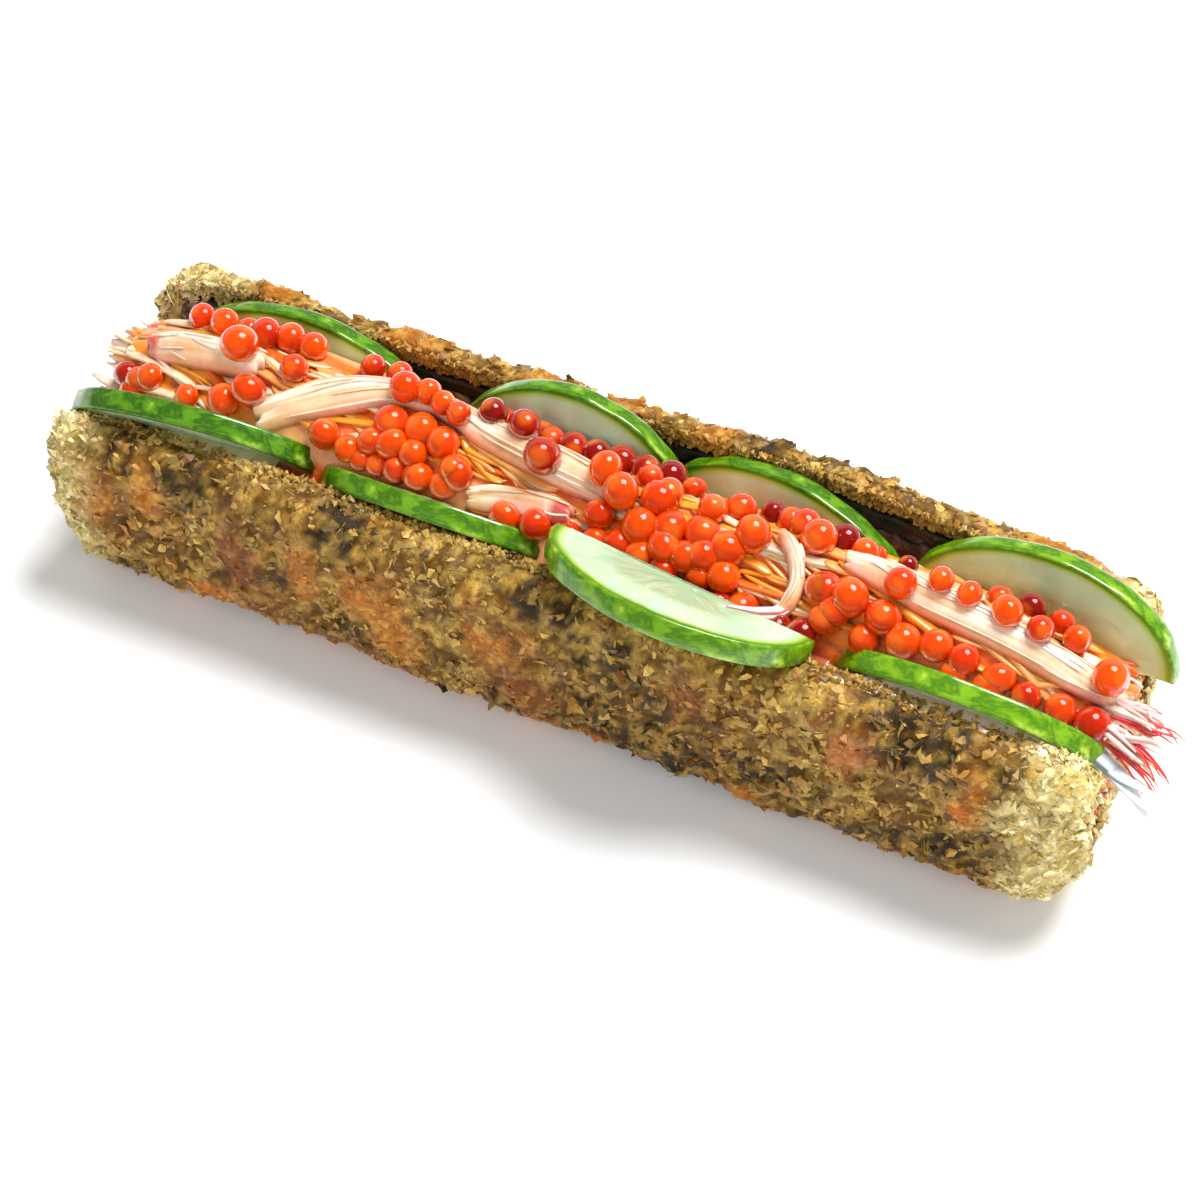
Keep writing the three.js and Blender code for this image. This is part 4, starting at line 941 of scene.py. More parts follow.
def make_crumbs(points, groups, n, rows):
    """Flakes, crumbs and spikes over the crust's outer face and its two end faces."""
    rng = np.random.default_rng(101)
    ring = grid_faces(rows, 2 * n, closed=True)
    column = np.tile(np.arange(2 * n), rows - 1)
    outside = flipped(ring[(column < n - 1) | (column == 2 * n - 1)])
    faces = np.vstack([outside, groups[1], groups[2]])

    def density(p):
        z = crust_zones(p)
        floor = smooth(0.1, 1.2, p[:, 2])
        bare = smooth(0.62, 0.74, noise(p, (3.4, 3.4, 2.8), 105))
        return ((0.12 + 0.88 * floor) * (1 - 0.25 * z["golden"]) * (1 - 0.3 * z["dark"])
                * (1 + 0.5 * z["pale"]) * (1 - 0.8 * bare))

    def spiky(p):
        z = crust_zones(p)
        return 0.10 + 1.6 * z["pale"] + 0.5 * smooth(10, 2, p[:, 2]) + 0.15 * smooth(33, 36, p[:, 2])

    # Leaf-like flakes
    place, normal, count, zones = scatter(points, faces, detail(*FLAKES), rng, density, FLAKE_ROOM)
    size = (0.6 + 1.35 * rng.random(count) ** 1.4) * (1 - 0.25 * zones["golden"])
    slim = rng.uniform(0.45, 0.95, count)
    thick = size * rng.uniform(0.16, 0.5, count)
    tilt = rng.uniform(0.15, 0.8, count) + 0.25 * zones["pale"]
    raised = place + normal * (0.1 + 0.45 * rng.random(count))[:, None]
    pts, tri = shards(raised, normal, size, slim, thick, tilt, rng)
    bright = np.clip(rng.normal(0.62, 0.4, count), 0.05, 1.4)
    bright = bright * (1 - 0.35 * zones["dark"] * (rng.random(count) > 0.3))
    tint = crust_tint(place, zones, bright) * rng.uniform(0.72, 1.15, count)[:, None]
    warm = rng.random(count) < 0.16
    tint[warm] = lerp(tint[warm], GOLD * 1.05, 0.4)
    lay("panko_flakes", pts, tri, tint, "panko", 0.55, 0.04)

    make_fringe(rng)

    # Fine crumbs between them
    place, normal, count, zones = scatter(points, faces, detail(*CRUMBS), rng, density, CRUMB_ROOM)
    size = rng.uniform(0.18, 0.52, count)
    raised = place + normal * (0.1 + 0.25 * rng.random(count))[:, None]
    pts, tri = shards(raised, normal, size, rng.uniform(0.5, 1.0, count),
                      size * rng.uniform(0.35, 0.7, count), rng.uniform(0.2, 1.2, count), rng, ring=4)
    tint = crust_tint(place, zones, np.clip(rng.normal(0.5, 0.3, count), 0, 1.1))
    lay("fine_crumbs", pts, tri, tint * rng.uniform(0.7, 1.2, count)[:, None], "crumb", 0.6, 0.03)

    # Thin spikes that stand out, most of them at the two ends and along the bottom edge
    place, normal, count, zones = scatter(points, faces, detail(*SPIKES), rng, spiky, SPIKE_ROOM, 0.8)
    lean = unit(normal + rng.normal(size=(count, 3)) * 0.55)
    across = unit(np.cross(lean, rng.normal(size=(count, 3))))
    size = rng.uniform(0.8, 2.1, count) * (1 + 0.25 * zones["pale"])
    pts, tri = shards(place + lean * (size * 0.45)[:, None], across, size, np.full(count, 0.2), size * 0.12,
                      np.full(count, 0.02), rng, ring=4)
    # shards() turns at random around its normal, so each is laid again along its lean
    middle = pts.mean(1, keepdims=True)
    local = pts - middle
    along = np.einsum("nki,ni->nk", local, lean)
    wide = local - along[..., None] * lean[:, None]
    reach = np.linalg.norm(local, axis=2).max(1)
    pts = middle + lean[:, None] * (along * 1.1)[..., None] + wide * 0.42
    pts[:, 0] = middle[:, 0] + lean * (reach * 0.95)[:, None]
    tint = crust_tint(place, zones, np.clip(rng.normal(0.8, 0.2, count), 0, 1.2))
    lay("panko_spikes", pts, tri, tint * rng.uniform(0.9, 1.25, count)[:, None], "spike", 0.5, 0.1)


# Nori and rice

def make_nori():
    xs = np.linspace(-COVERED_LENGTH / 2, COVERED_LENGTH / 2, NORI_ROWS)
    loops = []
    outside = CRUST + LAYER_GAP
    for x in xs:
        top = float(far_top(x, outside))
        side = float(shape_at(x)["far"]) - RIM_RADIUS
        short = 0.15 + 0.6 * float(smooth(91, 70, np.abs(x)))
        foot = top - NORI_LIP * short - 0.4 * math.sin(x / 3.1) - 0.3 * math.sin(x / 1.27 + 1)
        wave = 0.30 * math.sin(x / 2.3) + 0.22 * math.sin(x / 0.9 + 2)
        outer = wall_line(x, outside, *NORI_STEPS)[:, :2]
        inner = wall_line(x, outside + NORI, *NORI_STEPS)[:, :2]
        down = np.linspace(0.15, 1, 6)
        lip_out = np.column_stack([side - NORI - wave * down - 0.35 * down, lerp(top - 0.2, foot, down)])
        lip_in = np.column_stack([side - wave * down - 0.1, lerp(top - 0.5, foot, down)])
        loops.append(np.vstack([outer, lip_out, lip_in[::-1], inner[::-1]]))
    points, groups, _ = swept(xs, loops)
    m = Nodes("nori", Roughness=0.38, Specular_IOR_Level=0.6)
    crease = m.noise(420, 4, 0.6)
    m.set("Base Color", m.ramp(crease, (0.3, colour(10, 10, 8)), (0.55, colour(26, 28, 20)),
                               (0.8, colour(54, 58, 40))))
    m.bump(crease, 0.8, 0.5)
    build("nori", points, groups, m.material, "nori_sheet")


def ellipsoids(centres, axes, radii, around=10, along=7):
    """Closed egg-shaped grains: axes (n, 3, 3) rows are the long, side and up directions."""
    n = len(centres)
    lat = np.linspace(0, np.pi, along + 1)[1:-1]
    lon = np.linspace(0, 2 * np.pi, around, endpoint=False)
    la, lo = np.meshgrid(lat, lon, indexing="ij")
    ball = np.stack([np.cos(la), np.sin(la) * np.cos(lo), np.sin(la) * np.sin(lo)], -1).reshape(-1, 3)
    ball = np.vstack([ball, [[1, 0, 0], [-1, 0, 0]]])
    size = len(ball)
    points = centres[:, None] + np.einsum("nki,nij->nkj", ball[None] * radii[:, None], axes)
    body = grid_faces(along - 1, around, closed=True)
    k = np.arange(around)
    first = np.stack([k, (k + 1) % around, np.full(around, size - 2)], 1)[:, ::-1]
    start = (along - 2) * around
    last = np.stack([start + k, start + (k + 1) % around, np.full(around, size - 1)], 1)
    caps = np.concatenate([first, last])
    return points.reshape(-1, 3), [repeated(body, n, size), repeated(caps, n, size)], size


def make_rice():
    rng = np.random.default_rng(7)
    xs = np.linspace(-COVERED_LENGTH / 2, COVERED_LENGTH / 2, RICE_ROWS)
    inset = CRUST + NORI + 2 * LAYER_GAP
    loops = []
    for x in xs:
        behind = float(shape_at(x)["far"]) - RIM_RADIUS + LAYER_GAP
        foot = float(far_top(x, CRUST + LAYER_GAP)) - NORI_LIP - 2 * LAYER_GAP
        outer = wall_line(x, inset, *RICE_STEPS)[:, :2]
        outer = np.vstack([outer[:-1], [(behind, float(far_top(x, inset)) - 0.1)], [(behind, foot)]])
        channel = channel_line(x, 0.0, 22, 6)
        channel[-1, 1] = foot - 0.2
        loops.append(np.vstack([resample(outer, len(channel)), channel[::-1]]))
    points, groups, n = swept(xs, loops)
    inside = np.tile(np.arange(n) >= n // 2, len(xs))
    points[:, 1] += np.where(inside & (points[:, 1] > 10), -1.0 * (noise(points, (3.2, 2, 1.9), 5) - 0.45), 0)
    m = Nodes("rice", Roughness=0.42, Coat_Weight=0.3)
    tone = m.noise(260, 3)
    m.set("Base Color", m.ramp(tone, (0.3, colour(62, 44, 38)), (0.6, colour(104, 80, 70)),
                               (0.85, colour(150, 124, 110))))
    soft(m, 0.2, (1.0, 0.6, 0.5), 1.0)
    m.bump(m.noise(700, 3), 0.5, 0.3)
    build("rice", points, groups, m.material, "rice_bed")

    # Whole grains on the far face and a few on the near one
    centres, axes, radii, tones = [], [], [], []
    for _ in range(GRAINS):
        x = rng.uniform(-91, 91)
        far = rng.random() < 0.8
        face = FAR_SIDE - WALL if far else NEAR_SIDE + WALL
        low = float(core_height(x, face)) - 1.0
        top = float(far_top(x, CRUST)) - NORI_LIP - 1.0 if far else float(shape_at(x)["near_rim"]) - 3.6
        if low > top:
            continue
        z = rng.uniform(low, top)
        centre = askew(x, face + (0.35 if far else -0.35) - (0.5 if far else -0.5) * rng.random(), z)
        if not clear_of_moons(centre[None], 1.5)[0]:
            continue
        tilt = rng.normal(0, 0.5)
        swing = rng.normal(0, 0.25)
        a = np.array([math.cos(tilt) * math.cos(swing), math.sin(swing), math.sin(tilt) * math.cos(swing)])
        b = unit(np.cross([0, 0, 1.0], a))
        centres.append(centre)
        axes.append([a, b, np.cross(a, b)])
        w = rng.uniform(0.95, 1.2)
        radii.append((rng.uniform(2.2, 2.8), w, w * rng.uniform(0.9, 1.05)))
        tones.append(rng.random())
    pts, groups, size = ellipsoids(np.array(centres), np.array(axes), np.array(radii))
    tones = np.array(tones)
    tint = blend(colour(84, 60, 54), colour(150, 118, 104), tones ** 1.5)
    tint[tones > 0.88] = colour(176, 152, 132)
    m = tinted("grain", 0.3, (600, 2), ((0.3, 0.7), (0.7, 1.2)), 0.5, 0.15)
    soft(m, 0.3, (1.0, 0.6, 0.5), 1.2)
    m.bump(m.noise(900, 2), 0.25, 0.2)
    build("rice_grains", pts, groups, m.material, tints=np.repeat(tint, size, 0))


# Cucumber

# How yellow the skin is (0 deep green, 1 yellow-green) and how cloudy the flesh
MOON_LOOKS = {
    "cucumber_far_1": (0.4, 0.4), "cucumber_far_2": (0.55, 0.8), "cucumber_far_3": (0.4, 0.7),
    "cucumber_far_4": (0.8, 0.5), "cucumber_near_1": (0.2, 0.6), "cucumber_near_2": (0.5, 0.4),
    "cucumber_near_3": (0.8, 0.9), "cucumber_near_4": (0.9, 0.7),
}


# Rows of points over a slice's round rim: place across it, and share of the rounding
RIM_LANES = [(-1, 0.35), (-0.94, 0.8), (-0.7, 1.0), (-0.35, 1.06), (0.0, 1.08), (0.35, 1.06), (0.7, 1.0),
             (0.94, 0.8), (1, 0.35)]


def cucumber_material(name, yellow, cloud, orange):
    m = Nodes(name, Coat_Weight=0.35, Coat_Roughness=0.08)
    ring = m.attribute("ring")
    skin = m.attribute("skin")
    around = m.attribute("around")
    where = m.place()
    # Skin: streaks along the fruit, which run across the slice's edge
    combine = m.node("ShaderNodeCombineXYZ")
    m.link(around, combine.inputs[0])
    m.link(m.attribute("across"), combine.inputs[1])
    streak = m.noise(1.0, 4, 0.62, combine.outputs[0], 0.3)
    deep = lerp(colour(28, 70, 4), colour(70, 122, 6), yellow)
    mid = lerp(colour(74, 128, 8), colour(124, 170, 18), yellow)
    light = lerp(colour(156, 190, 70), colour(196, 214, 96), yellow)
    rind = m.ramp(streak, (0.26, deep), (0.42, mid), (0.52, deep), (0.62, mid), (0.72, light))
    # Flesh from the middle out to the skin
    wet = m.noise(90, 4, 0.6, where)
    core = lerp(colour(146, 172, 110), colour(160, 188, 150), cloud)
    flesh = lerp(colour(168, 200, 144), colour(184, 212, 180), cloud)
    edge = colour(160, 192, 84)
    line = colour(96, 156, 36)
    radial = m.ramp(ring, (0.0, core), (0.5, core), (0.66, flesh), (0.9, flesh), (0.945, edge), (0.968, line),
                    (0.99, deep))
    face = m.mix(1.0, radial, m.ramp(wet, (0.3, 0.86), (0.5, 1.0), (0.7, 1.08)), "MULTIPLY")
    if orange:
        juice = m.range(m.attribute("low"), 0.55, 0.0, 0.0, orange)
        face = m.mix(m.math("MULTIPLY", juice, m.range(m.noise(60, 3, 0.5, where), 0.35, 0.6)), face,
                     colour(206, 150, 70))
    m.set("Base Color", m.mix(skin, face, rind))
    m.set("Roughness", m.range(m.noise(240, 3, 0.5, where), 0.3, 0.7, 0.10, 0.30))
    soft(m, m.range(skin, 0.0, 1.0, 0.35, 0.05), (1.0, 1.0, 0.5), 2.2)
    m.bump(m.noise(330, 4, 0.55, where), 0.35, 0.35)
    return m.material


def make_cucumber(name, index):
    moon = MOONS[name]
    half, height, thick = moon["half"], moon.get("height", MOON_HEIGHT), moon_thickness(name)
    rng = np.random.default_rng(40 + index)
    yellow, cloud = MOON_LOOKS[name]
    around = detail(*SLICE_AROUND)
    angles = np.linspace(0, np.pi, around + 1)
    rings = np.concatenate([np.linspace(0.0, 0.9, 16), [0.925, 0.945, 0.96, 0.975, 0.988]])
    inner_half, inner_height = half - BEVEL, height - BEVEL
    # Seeds: a row of ovals around the middle, which stand out a little
    seeds = []
    for a in np.linspace(0.25, np.pi - 0.25, 11):
        seeds.append((a + rng.uniform(-0.06, 0.06), rng.uniform(0.34, 0.52)))

    def face_points(sign):
        """A cut face from its middle out, as one row of points for each ring."""
        face = []
        for r in rings:
            x = inner_half * r * np.cos(angles)
            z = BEVEL + (inner_height - BEVEL) * r * np.sin(angles)
            p = np.column_stack([x, np.zeros_like(x), z])
            bump = np.zeros(len(angles))
            for a, share in seeds:
                away = np.array([inner_half * math.cos(a), inner_height * math.sin(a)])
                dx, dz = x - share * away[0], z - share * away[1]
                away = unit(away)
                out = dx * away[0] + dz * away[1]
                side = -dx * away[1] + dz * away[0]
                share_out = np.sqrt((out / SEED_LONG) ** 2 + (side / SEED_WIDE) ** 2)
                bump = np.maximum(bump, smooth(1.3, 0.5, share_out))
            wave = 0.22 * (noise(p + 50 * index, 6.0, 90 + index) - 0.5) + 0.1 * (noise(p, 1.6, 93) - 0.5)
            sink = -0.18 * smooth(0.62, 0.4, r)
            p[:, 1] = sign * (thick / 2 + sink + SEED_BUMP * bump) + wave
            face.append(p)
        return face

    # From the front face over the round rim to the back face, with each row's share of the way to the skin
    rows = face_points(-1)
    ring_rows, skin_rows = list(rings), [0.0] * len(rings)
    dents = DENT * (noise(np.column_stack([angles * 6, angles * 0, angles * 0]), 1.0, 60 + index) - 0.5)
    for across, out in RIM_LANES:
        grow = BEVEL * out
        x = (inner_half + grow + dents) * np.cos(angles)
        z = BEVEL + (inner_height - BEVEL + grow + dents) * np.sin(angles)
        rows.append(np.column_stack([x, np.full_like(x, across * (thick / 2)), z]))
        ring_rows.append(1.0)
        skin_rows.append(1.0)
    rows += face_points(1)[::-1]
    ring_rows += list(rings[::-1])
    skin_rows += [0.0] * len(rings)
    points = np.concatenate(rows)
    columns = around + 1
    groups = [grid_faces(len(rows), columns)]
    # Cut edge: join the first and last columns of every row, all along the bottom
    r = np.arange(len(rows) - 1)
    left, right = r * columns, r * columns + columns - 1
    groups.append(np.stack([left, left + columns, right + columns, right], 1))
    material = cucumber_material(name, yellow, cloud, 0.45 if name == "cucumber_far_4" else 0.0)
    shift = Matrix.Translation(Vector(SHIFT / 1000.0))
    m = moon_matrix(moon)
    m.translation = m.translation / 1000.0
    values = {"ring": np.repeat(ring_rows, columns), "skin": np.repeat(skin_rows, columns),
              "around": np.tile(angles, len(rows)) * (half + height) / 2 / 6.5,
              "across": points[:, 1] / thick * 0.9, "low": points[:, 2] / height}
    build(name + "_slice", points, groups, material, name, values=values, matrix=shift @ m)


# Crab and sauce

def ribbons(paths, ups, widths, thicks, sides=6):
    """Flattened tubes along paths (n, k, 3), each with a flat face at both ends."""
    paths, ups, widths, thicks = [np.asarray(v, float) for v in (paths, ups, widths, thicks)]
    n, k = paths.shape[:2]
    along = unit(np.gradient(paths, axis=1))
    side = unit(np.cross(ups, along))
    up = np.cross(along, side)
    a = np.linspace(0, 2 * np.pi, sides, endpoint=False)
    ring = (paths[:, :, None] + side[:, :, None] * (np.cos(a)[None, None] * widths[..., None] / 2)[..., None]
            + up[:, :, None] * (np.sin(a)[None, None] * thicks[..., None] / 2)[..., None])
    size = k * sides
    body = grid_faces(k, sides, closed=True)
    caps = np.stack([np.arange(sides)[::-1], size - sides + np.arange(sides)])
    return ring.reshape(-1, 3), [repeated(body, n, size), repeated(caps, n, size)], size


def tangle(strands, sides=6):
    """Ribbons from strands of equal length, each a path, its up direction, widths, thicknesses and tints."""
    paths, ups, widths, thicks, tints = [np.array(part) for part in zip(*strands)]
    points, groups, _ = ribbons(paths, ups[:, None], widths, thicks, sides)
    return points, groups, np.repeat(tints.reshape(-1, 3), sides, 0)


CREAM, PEACH = colour(238, 202, 166), colour(236, 152, 76)
# The darkest sauce colour is also used on the filling as painted shade.
SAUCE, DEEP_SAUCE_AND_SHADE, YOLK = colour(230, 96, 8), colour(156, 40, 6), colour(242, 146, 30)
RED = colour(206, 44, 34)


def crab_material(name, scale, weight=0.35):
    m = tinted(name, 0.34, (500, 4, 0.6), ((0.3, 0.86), (0.5, 1.0), (0.75, 1.1)), 0.45, 0.12)
    soft(m, weight, (1.0, 0.5, 0.28), scale)
    m.bump(m.noise(1100, 3, 0.6), 0.3, 0.2)
    return m.material


def bundle_relief(p):
    """Height of the shredded bundle's fibres over the smooth crown, and how pale each place is."""
    x, y = p[:, 0], p[:, 1]
    q = np.column_stack([x, y, np.zeros(len(p))])
    sway = y + 1.6 * np.sin(x / 11) + 4.0 * (noise(q, (34, 22, 9), 80) - 0.5) + 0.12 * x
    thin = noise(np.column_stack([x / 10, sway / 0.55, 0 * x]), 1, 81)
    wide = noise(np.column_stack([x / 17, sway / 2.3, 0 * x]), 1, 82)
    return 0.75 * (wide - 0.5) + 0.45 * (thin - 0.5), wide, thin


def make_filling():
    step = detail(*CORE_STEP)
    xs = np.linspace(-CORE_END, CORE_END, int(2 * CORE_END / step) + 1)
    near, far = NEAR_SIDE + WALL + LAYER_GAP, FAR_SIDE - WALL - LAYER_GAP
    ys = np.linspace(near, far, CORE_LANES)
    gx, gy = np.meshgrid(xs, ys, indexing="ij")
    flat = np.column_stack([gx.ravel(), gy.ravel(), np.zeros(gx.size)])
    relief, wide, thin = bundle_relief(flat)
    z = core_height(flat[:, 0], flat[:, 1]) + relief - 0.25
    z = np.maximum(z, CHANNEL_FLOOR + CHANNEL_CORNER + 1)
    top = askew(flat[:, 0], flat[:, 1], z)
    # Behind each half moon the bundle falls away to the wall
    for name, moon in MOONS.items():
        local = in_moon_frame(name, top)
        side = 1 if "far" in name else -1
        behind = (local[:, 1] * side > 0) & (np.abs(local[:, 0]) < moon["half"] - 1.0) & (local[:, 2] > 0)
        top[:, 2] = np.where(behind, np.minimum(top[:, 2], 26.0), top[:, 2])
    rows, columns = len(xs), len(ys)
    top = top.reshape(rows, columns, 3)
    under = []
    for x in xs:
        c = channel_line(x, LAYER_GAP, 2, 4)
        c = resample(c[1:-1], 14)[::-1]
        under.append(askew(x, c[:, 0], c[:, 1]))
    under = np.array(under)
    ring = np.concatenate([top, under], 1)
    n = ring.shape[1]
    points = ring.reshape(-1, 3)
    groups = [grid_faces(rows, n, closed=True)]
    # Ends: a fan from a middle point that lies a little inside; make_fibre_ends() covers it
    caps = []
    for k, side in ((0, -1), (rows - 1, 1)):
        loop = ring[k]
        middle = loop.mean(0) - [side * 0.6, 0, 0]
        index = k * n + np.arange(n)
        caps.append(middle)
        tri = np.stack([index, np.roll(index, -1), np.full(n, len(points) + len(caps) - 1)], 1)
        groups.append(flipped(tri) if side < 0 else tri)
    points = np.vstack([points, caps])
    _, wide, thin = bundle_relief(points)
    patch = layered(points, (13, 8, 9), 2, 84)
    tint = blend(SAUCE, YOLK, smooth(0.4, 0.65, patch))
    tint = blend(tint, PEACH, smooth(0.45, 0.8, 0.6 * wide + 0.4 * thin) * 0.7)
    tint = blend(tint, CREAM, smooth(0.62, 0.85, wide) * 0.3)
    # Darker sauce colour in the fibres' grooves: partly sauce that pools there, partly painted shade in the
    # creases
    deep = smooth(0.42, 0.2, 0.6 * thin + 0.4 * wide)
    tint = blend(tint, DEEP_SAUCE_AND_SHADE, deep * 0.8)
    # Painted shade: the same dark sauce colour along both walls, where the filling meets them
    edge = np.maximum(smooth(-11.5, -16, points[:, 1]), smooth(11, 15, points[:, 1]))
    tint = blend(tint, DEEP_SAUCE_AND_SHADE, edge * 0.6)
    look = crab_material("sauced_crab", 1.6, 0.4)
    build("filling", points, groups, look, "crab_and_roe", tint)


def make_strands():
    """Loose shreds of crab that lie along the bundle, with their ends lifting a little."""
    rng = np.random.default_rng(31)
    count, k = detail(*SHREDS), detail(*SHRED_POINTS)
    strands = []
    for _ in range(count):
        length = rng.uniform(7, 24)
        x0 = rng.uniform(-90, 90)
        y0 = np.clip(rng.normal(-0.5, 6.0), -13.5, 12.5)
        heading = rng.normal(-0.10, 0.20)
        bow = rng.normal(0, 1.2)
        t = np.linspace(-0.5, 0.5, k)
        x = x0 + length * t * math.cos(heading)
        y = y0 + length * t * math.sin(heading) + bow * (0.25 - t * t) * 4 * 0.5
        x = np.clip(x, -92, 93)
        width = rng.uniform(0.7, 2.9) * np.sqrt(np.clip(1 - (2 * np.abs(t)) ** 4, 0.02, 1))
        thick = np.full(k, rng.uniform(0.35, 0.8)) * np.clip(1 - (2 * np.abs(t)) ** 6 * 0.7, 0.2, 1)
        relief, _, _ = bundle_relief(np.column_stack([x, y]))
        lift = rng.uniform(-0.15, 0.45) + 0.5 * rng.random() * (2 * np.abs(t)) ** 3
        z = core_height(x, y) + 0.35 * relief + lift
        place = askew(x, y, z)
        if not clear_of_moons(place, 0.8).all():
            continue
        shade = rng.random()
        c = CREAM if shade < 0.3 else PEACH if shade < 0.62 else YOLK if shade < 0.86 else SAUCE
        tint = np.tile(c * rng.uniform(0.85, 1.05), (k, 1))
        strands.append((place, (0, 0.1, 1.0), width, thick, tint))
    pts, groups, tints = tangle(strands)
    build("crab_shreds", pts, groups, crab_material("crab_shred", 1.4), tints=tints)


def strip_half(name, ts):
    """Half a strip's width, which narrows towards both ends."""
    taper = STRIP_TAPER + (1 - STRIP_TAPER) * np.minimum(1, np.minimum(6 * ts, 6 * (1 - ts)))
    return STRIPS[name]["width"] / 2 * taper


def strip_crown(lanes):
    """Height of a strip's rounded top across it, as a share of its thickness."""
    return np.maximum(np.sqrt(np.maximum(1 - 0.75 * lanes ** 2, 0)), 0.3)


# Places of red skin on the strips: start and stop along them, and how strong it is
STRIP_RED = {
    "crab_strip_left": (-0.02, 0.10, 0.9), "crab_strip_low": (0.80, 1.0, 0.85),
    "crab_strip_right": (0.93, 1.02, 0.45), "crab_strip_loop": (0.0, 0.25, 0.25),
}


def make_strip(name, index):
    strip, curve = STRIPS[name], CURVES[name]
    rng = np.random.default_rng(60 + index)
    steps = max(24, int(curve.length / detail(*STRIP_STEP)))
    ts = np.linspace(0, 1, steps + 1)
    middle, along = curve.at(ts), curve.tangent(ts)
    lanes = np.linspace(-1, 1, STRIP_LANES)
    half = strip_half(name, ts)
    ends = 0.8 + 0.2 * np.minimum(1, np.minimum(5 * ts, 5 * (1 - ts)))
    run = ts * curve.length

    def place(lane_scale):
        x = middle[:, :1] - along[:, 1:] * half[:, None] * lanes[None] * lane_scale
        y = middle[:, 1:] + along[:, :1] * half[:, None] * lanes[None] * lane_scale
        return x, y

    fx, fy = place(1.0)
    foot = np.stack([fx, fy, core_height(fx, fy) + STRIP_GAP - 0.45], -1)
    tx, ty = place(0.96)
    crown = strip_crown(lanes)[None, :] * ends[:, None]
    lane_mm = lanes[None] * half[:, None]
    q = np.stack([np.broadcast_to(run[:, None] / 9, lane_mm.shape), lane_mm / 0.42 + 20 * index,
                  0 * lane_mm], -1).reshape(-1, 3)
    thin = noise(q, 1, 91).reshape(lane_mm.shape)
    q[:, 1] *= 0.4
    wide = noise(q, 1, 92).reshape(lane_mm.shape)
    relief = 0.10 * (thin - 0.6) + 0.30 * (wide - 0.55)
    top = np.stack([tx, ty, core_height(tx, ty) + STRIP_GAP + strip["thick"] * crown + relief], -1)
    # Ragged ends: lanes stop at different places
    ragged = 1.6 * (noise(np.column_stack([lanes * 4 + index * 9, 0 * lanes, 0 * lanes]), 1, 95) - 0.3)
    pull = smooth(0.10, 0.0, ts)[:, None] - smooth(0.90, 1.0, ts)[:, None]
    shift = (ragged[None] * pull)[..., None] * np.stack([along[:, 0], along[:, 1], 0 * ts], -1)[:, None]
    foot, top = foot + shift, top + shift
    ring = np.concatenate([foot, top[:, ::-1]], 1)
    n = ring.shape[1]
    points = ring.reshape(-1, 3)
    groups = [grid_faces(steps + 1, n, closed=True), *end_caps(steps + 1, n, turned=True)]
    pale = blend(lerp(CREAM, PEACH, 0.25), colour(244, 220, 198), smooth(0.3, 0.6, 0.4 * thin + 0.6 * wide))
    stain = smooth(0.5, 0.7, layered(top.reshape(-1, 3), (9, 5, 5), 2, 97)).reshape(lane_mm.shape)
    pale = blend(pale, PEACH, stain * 0.5)
    pale = blend(pale, SAUCE, smooth(0.72, 1.0, np.abs(lanes))[None] * 0.35 * np.ones_like(stain))
    pale = blend(pale, colour(214, 150, 104), smooth(0.34, 0.16, thin) * 0.3)
    if name in STRIP_RED:
        start, stop, strength = STRIP_RED[name]
        where = smooth(start - 0.04, start + 0.02, ts) * smooth(stop + 0.04, stop - 0.02, ts)
        patchy = smooth(0.3, 0.55, wide)
        pale = blend(pale, RED, where[:, None] * patchy * strength)
    # The lower face gets 0.8 of the colour: painted shade under the strip
    tints = np.concatenate([pale * 0.8, pale[:, ::-1]], 1).reshape(-1, 3)
    count = len(points)
    # Single fibres that lie along the strip or come loose from it
    k = FIBRE_POINTS
    t = np.linspace(-1, 1, k)
    fade = np.clip(1 - np.abs(t) ** 5, 0.1, 1)
    fibres = []
    for _ in range(int(3 + curve.length * strip["width"] / 30)):
        a = rng.uniform(0.0, 0.8)
        b = min(a + rng.uniform(0.15, 0.6), 1.0)
        tt = np.linspace(a, b, k)
        lane = np.clip(rng.uniform(-0.95, 0.95) + rng.normal(0, 0.1) * t, -1.05, 1.05)
        c, d = curve.at(tt), curve.tangent(tt)
        out = strip_half(name, tt) * lane
        x, y = c[:, 0] - d[:, 1] * out, c[:, 1] + d[:, 0] * out
        z = core_height(x, y) + STRIP_GAP + strip["thick"] * strip_crown(lane) * 0.97 + 0.05
        z = z + 0.25 * rng.random() * t ** 2
        width, thick = rng.uniform(0.3, 0.75) * fade, rng.uniform(0.25, 0.45) * fade
        tint = np.tile(lerp(colour(246, 220, 200), PEACH, rng.random() * 0.6), (k, 1))
        fibres.append((np.column_stack([x, y, z]), (0, 0, 1.0), width, thick, tint))
    fibre_points, fibre_groups, fibre_tints = tangle(fibres)
    points = np.vstack([points, fibre_points])
    groups += [g + count for g in fibre_groups]
    tints = np.vstack([tints, fibre_tints])
    build(name + "_meat", points, groups, crab_material(name + "_look", 1.8, 0.45), name, tints)


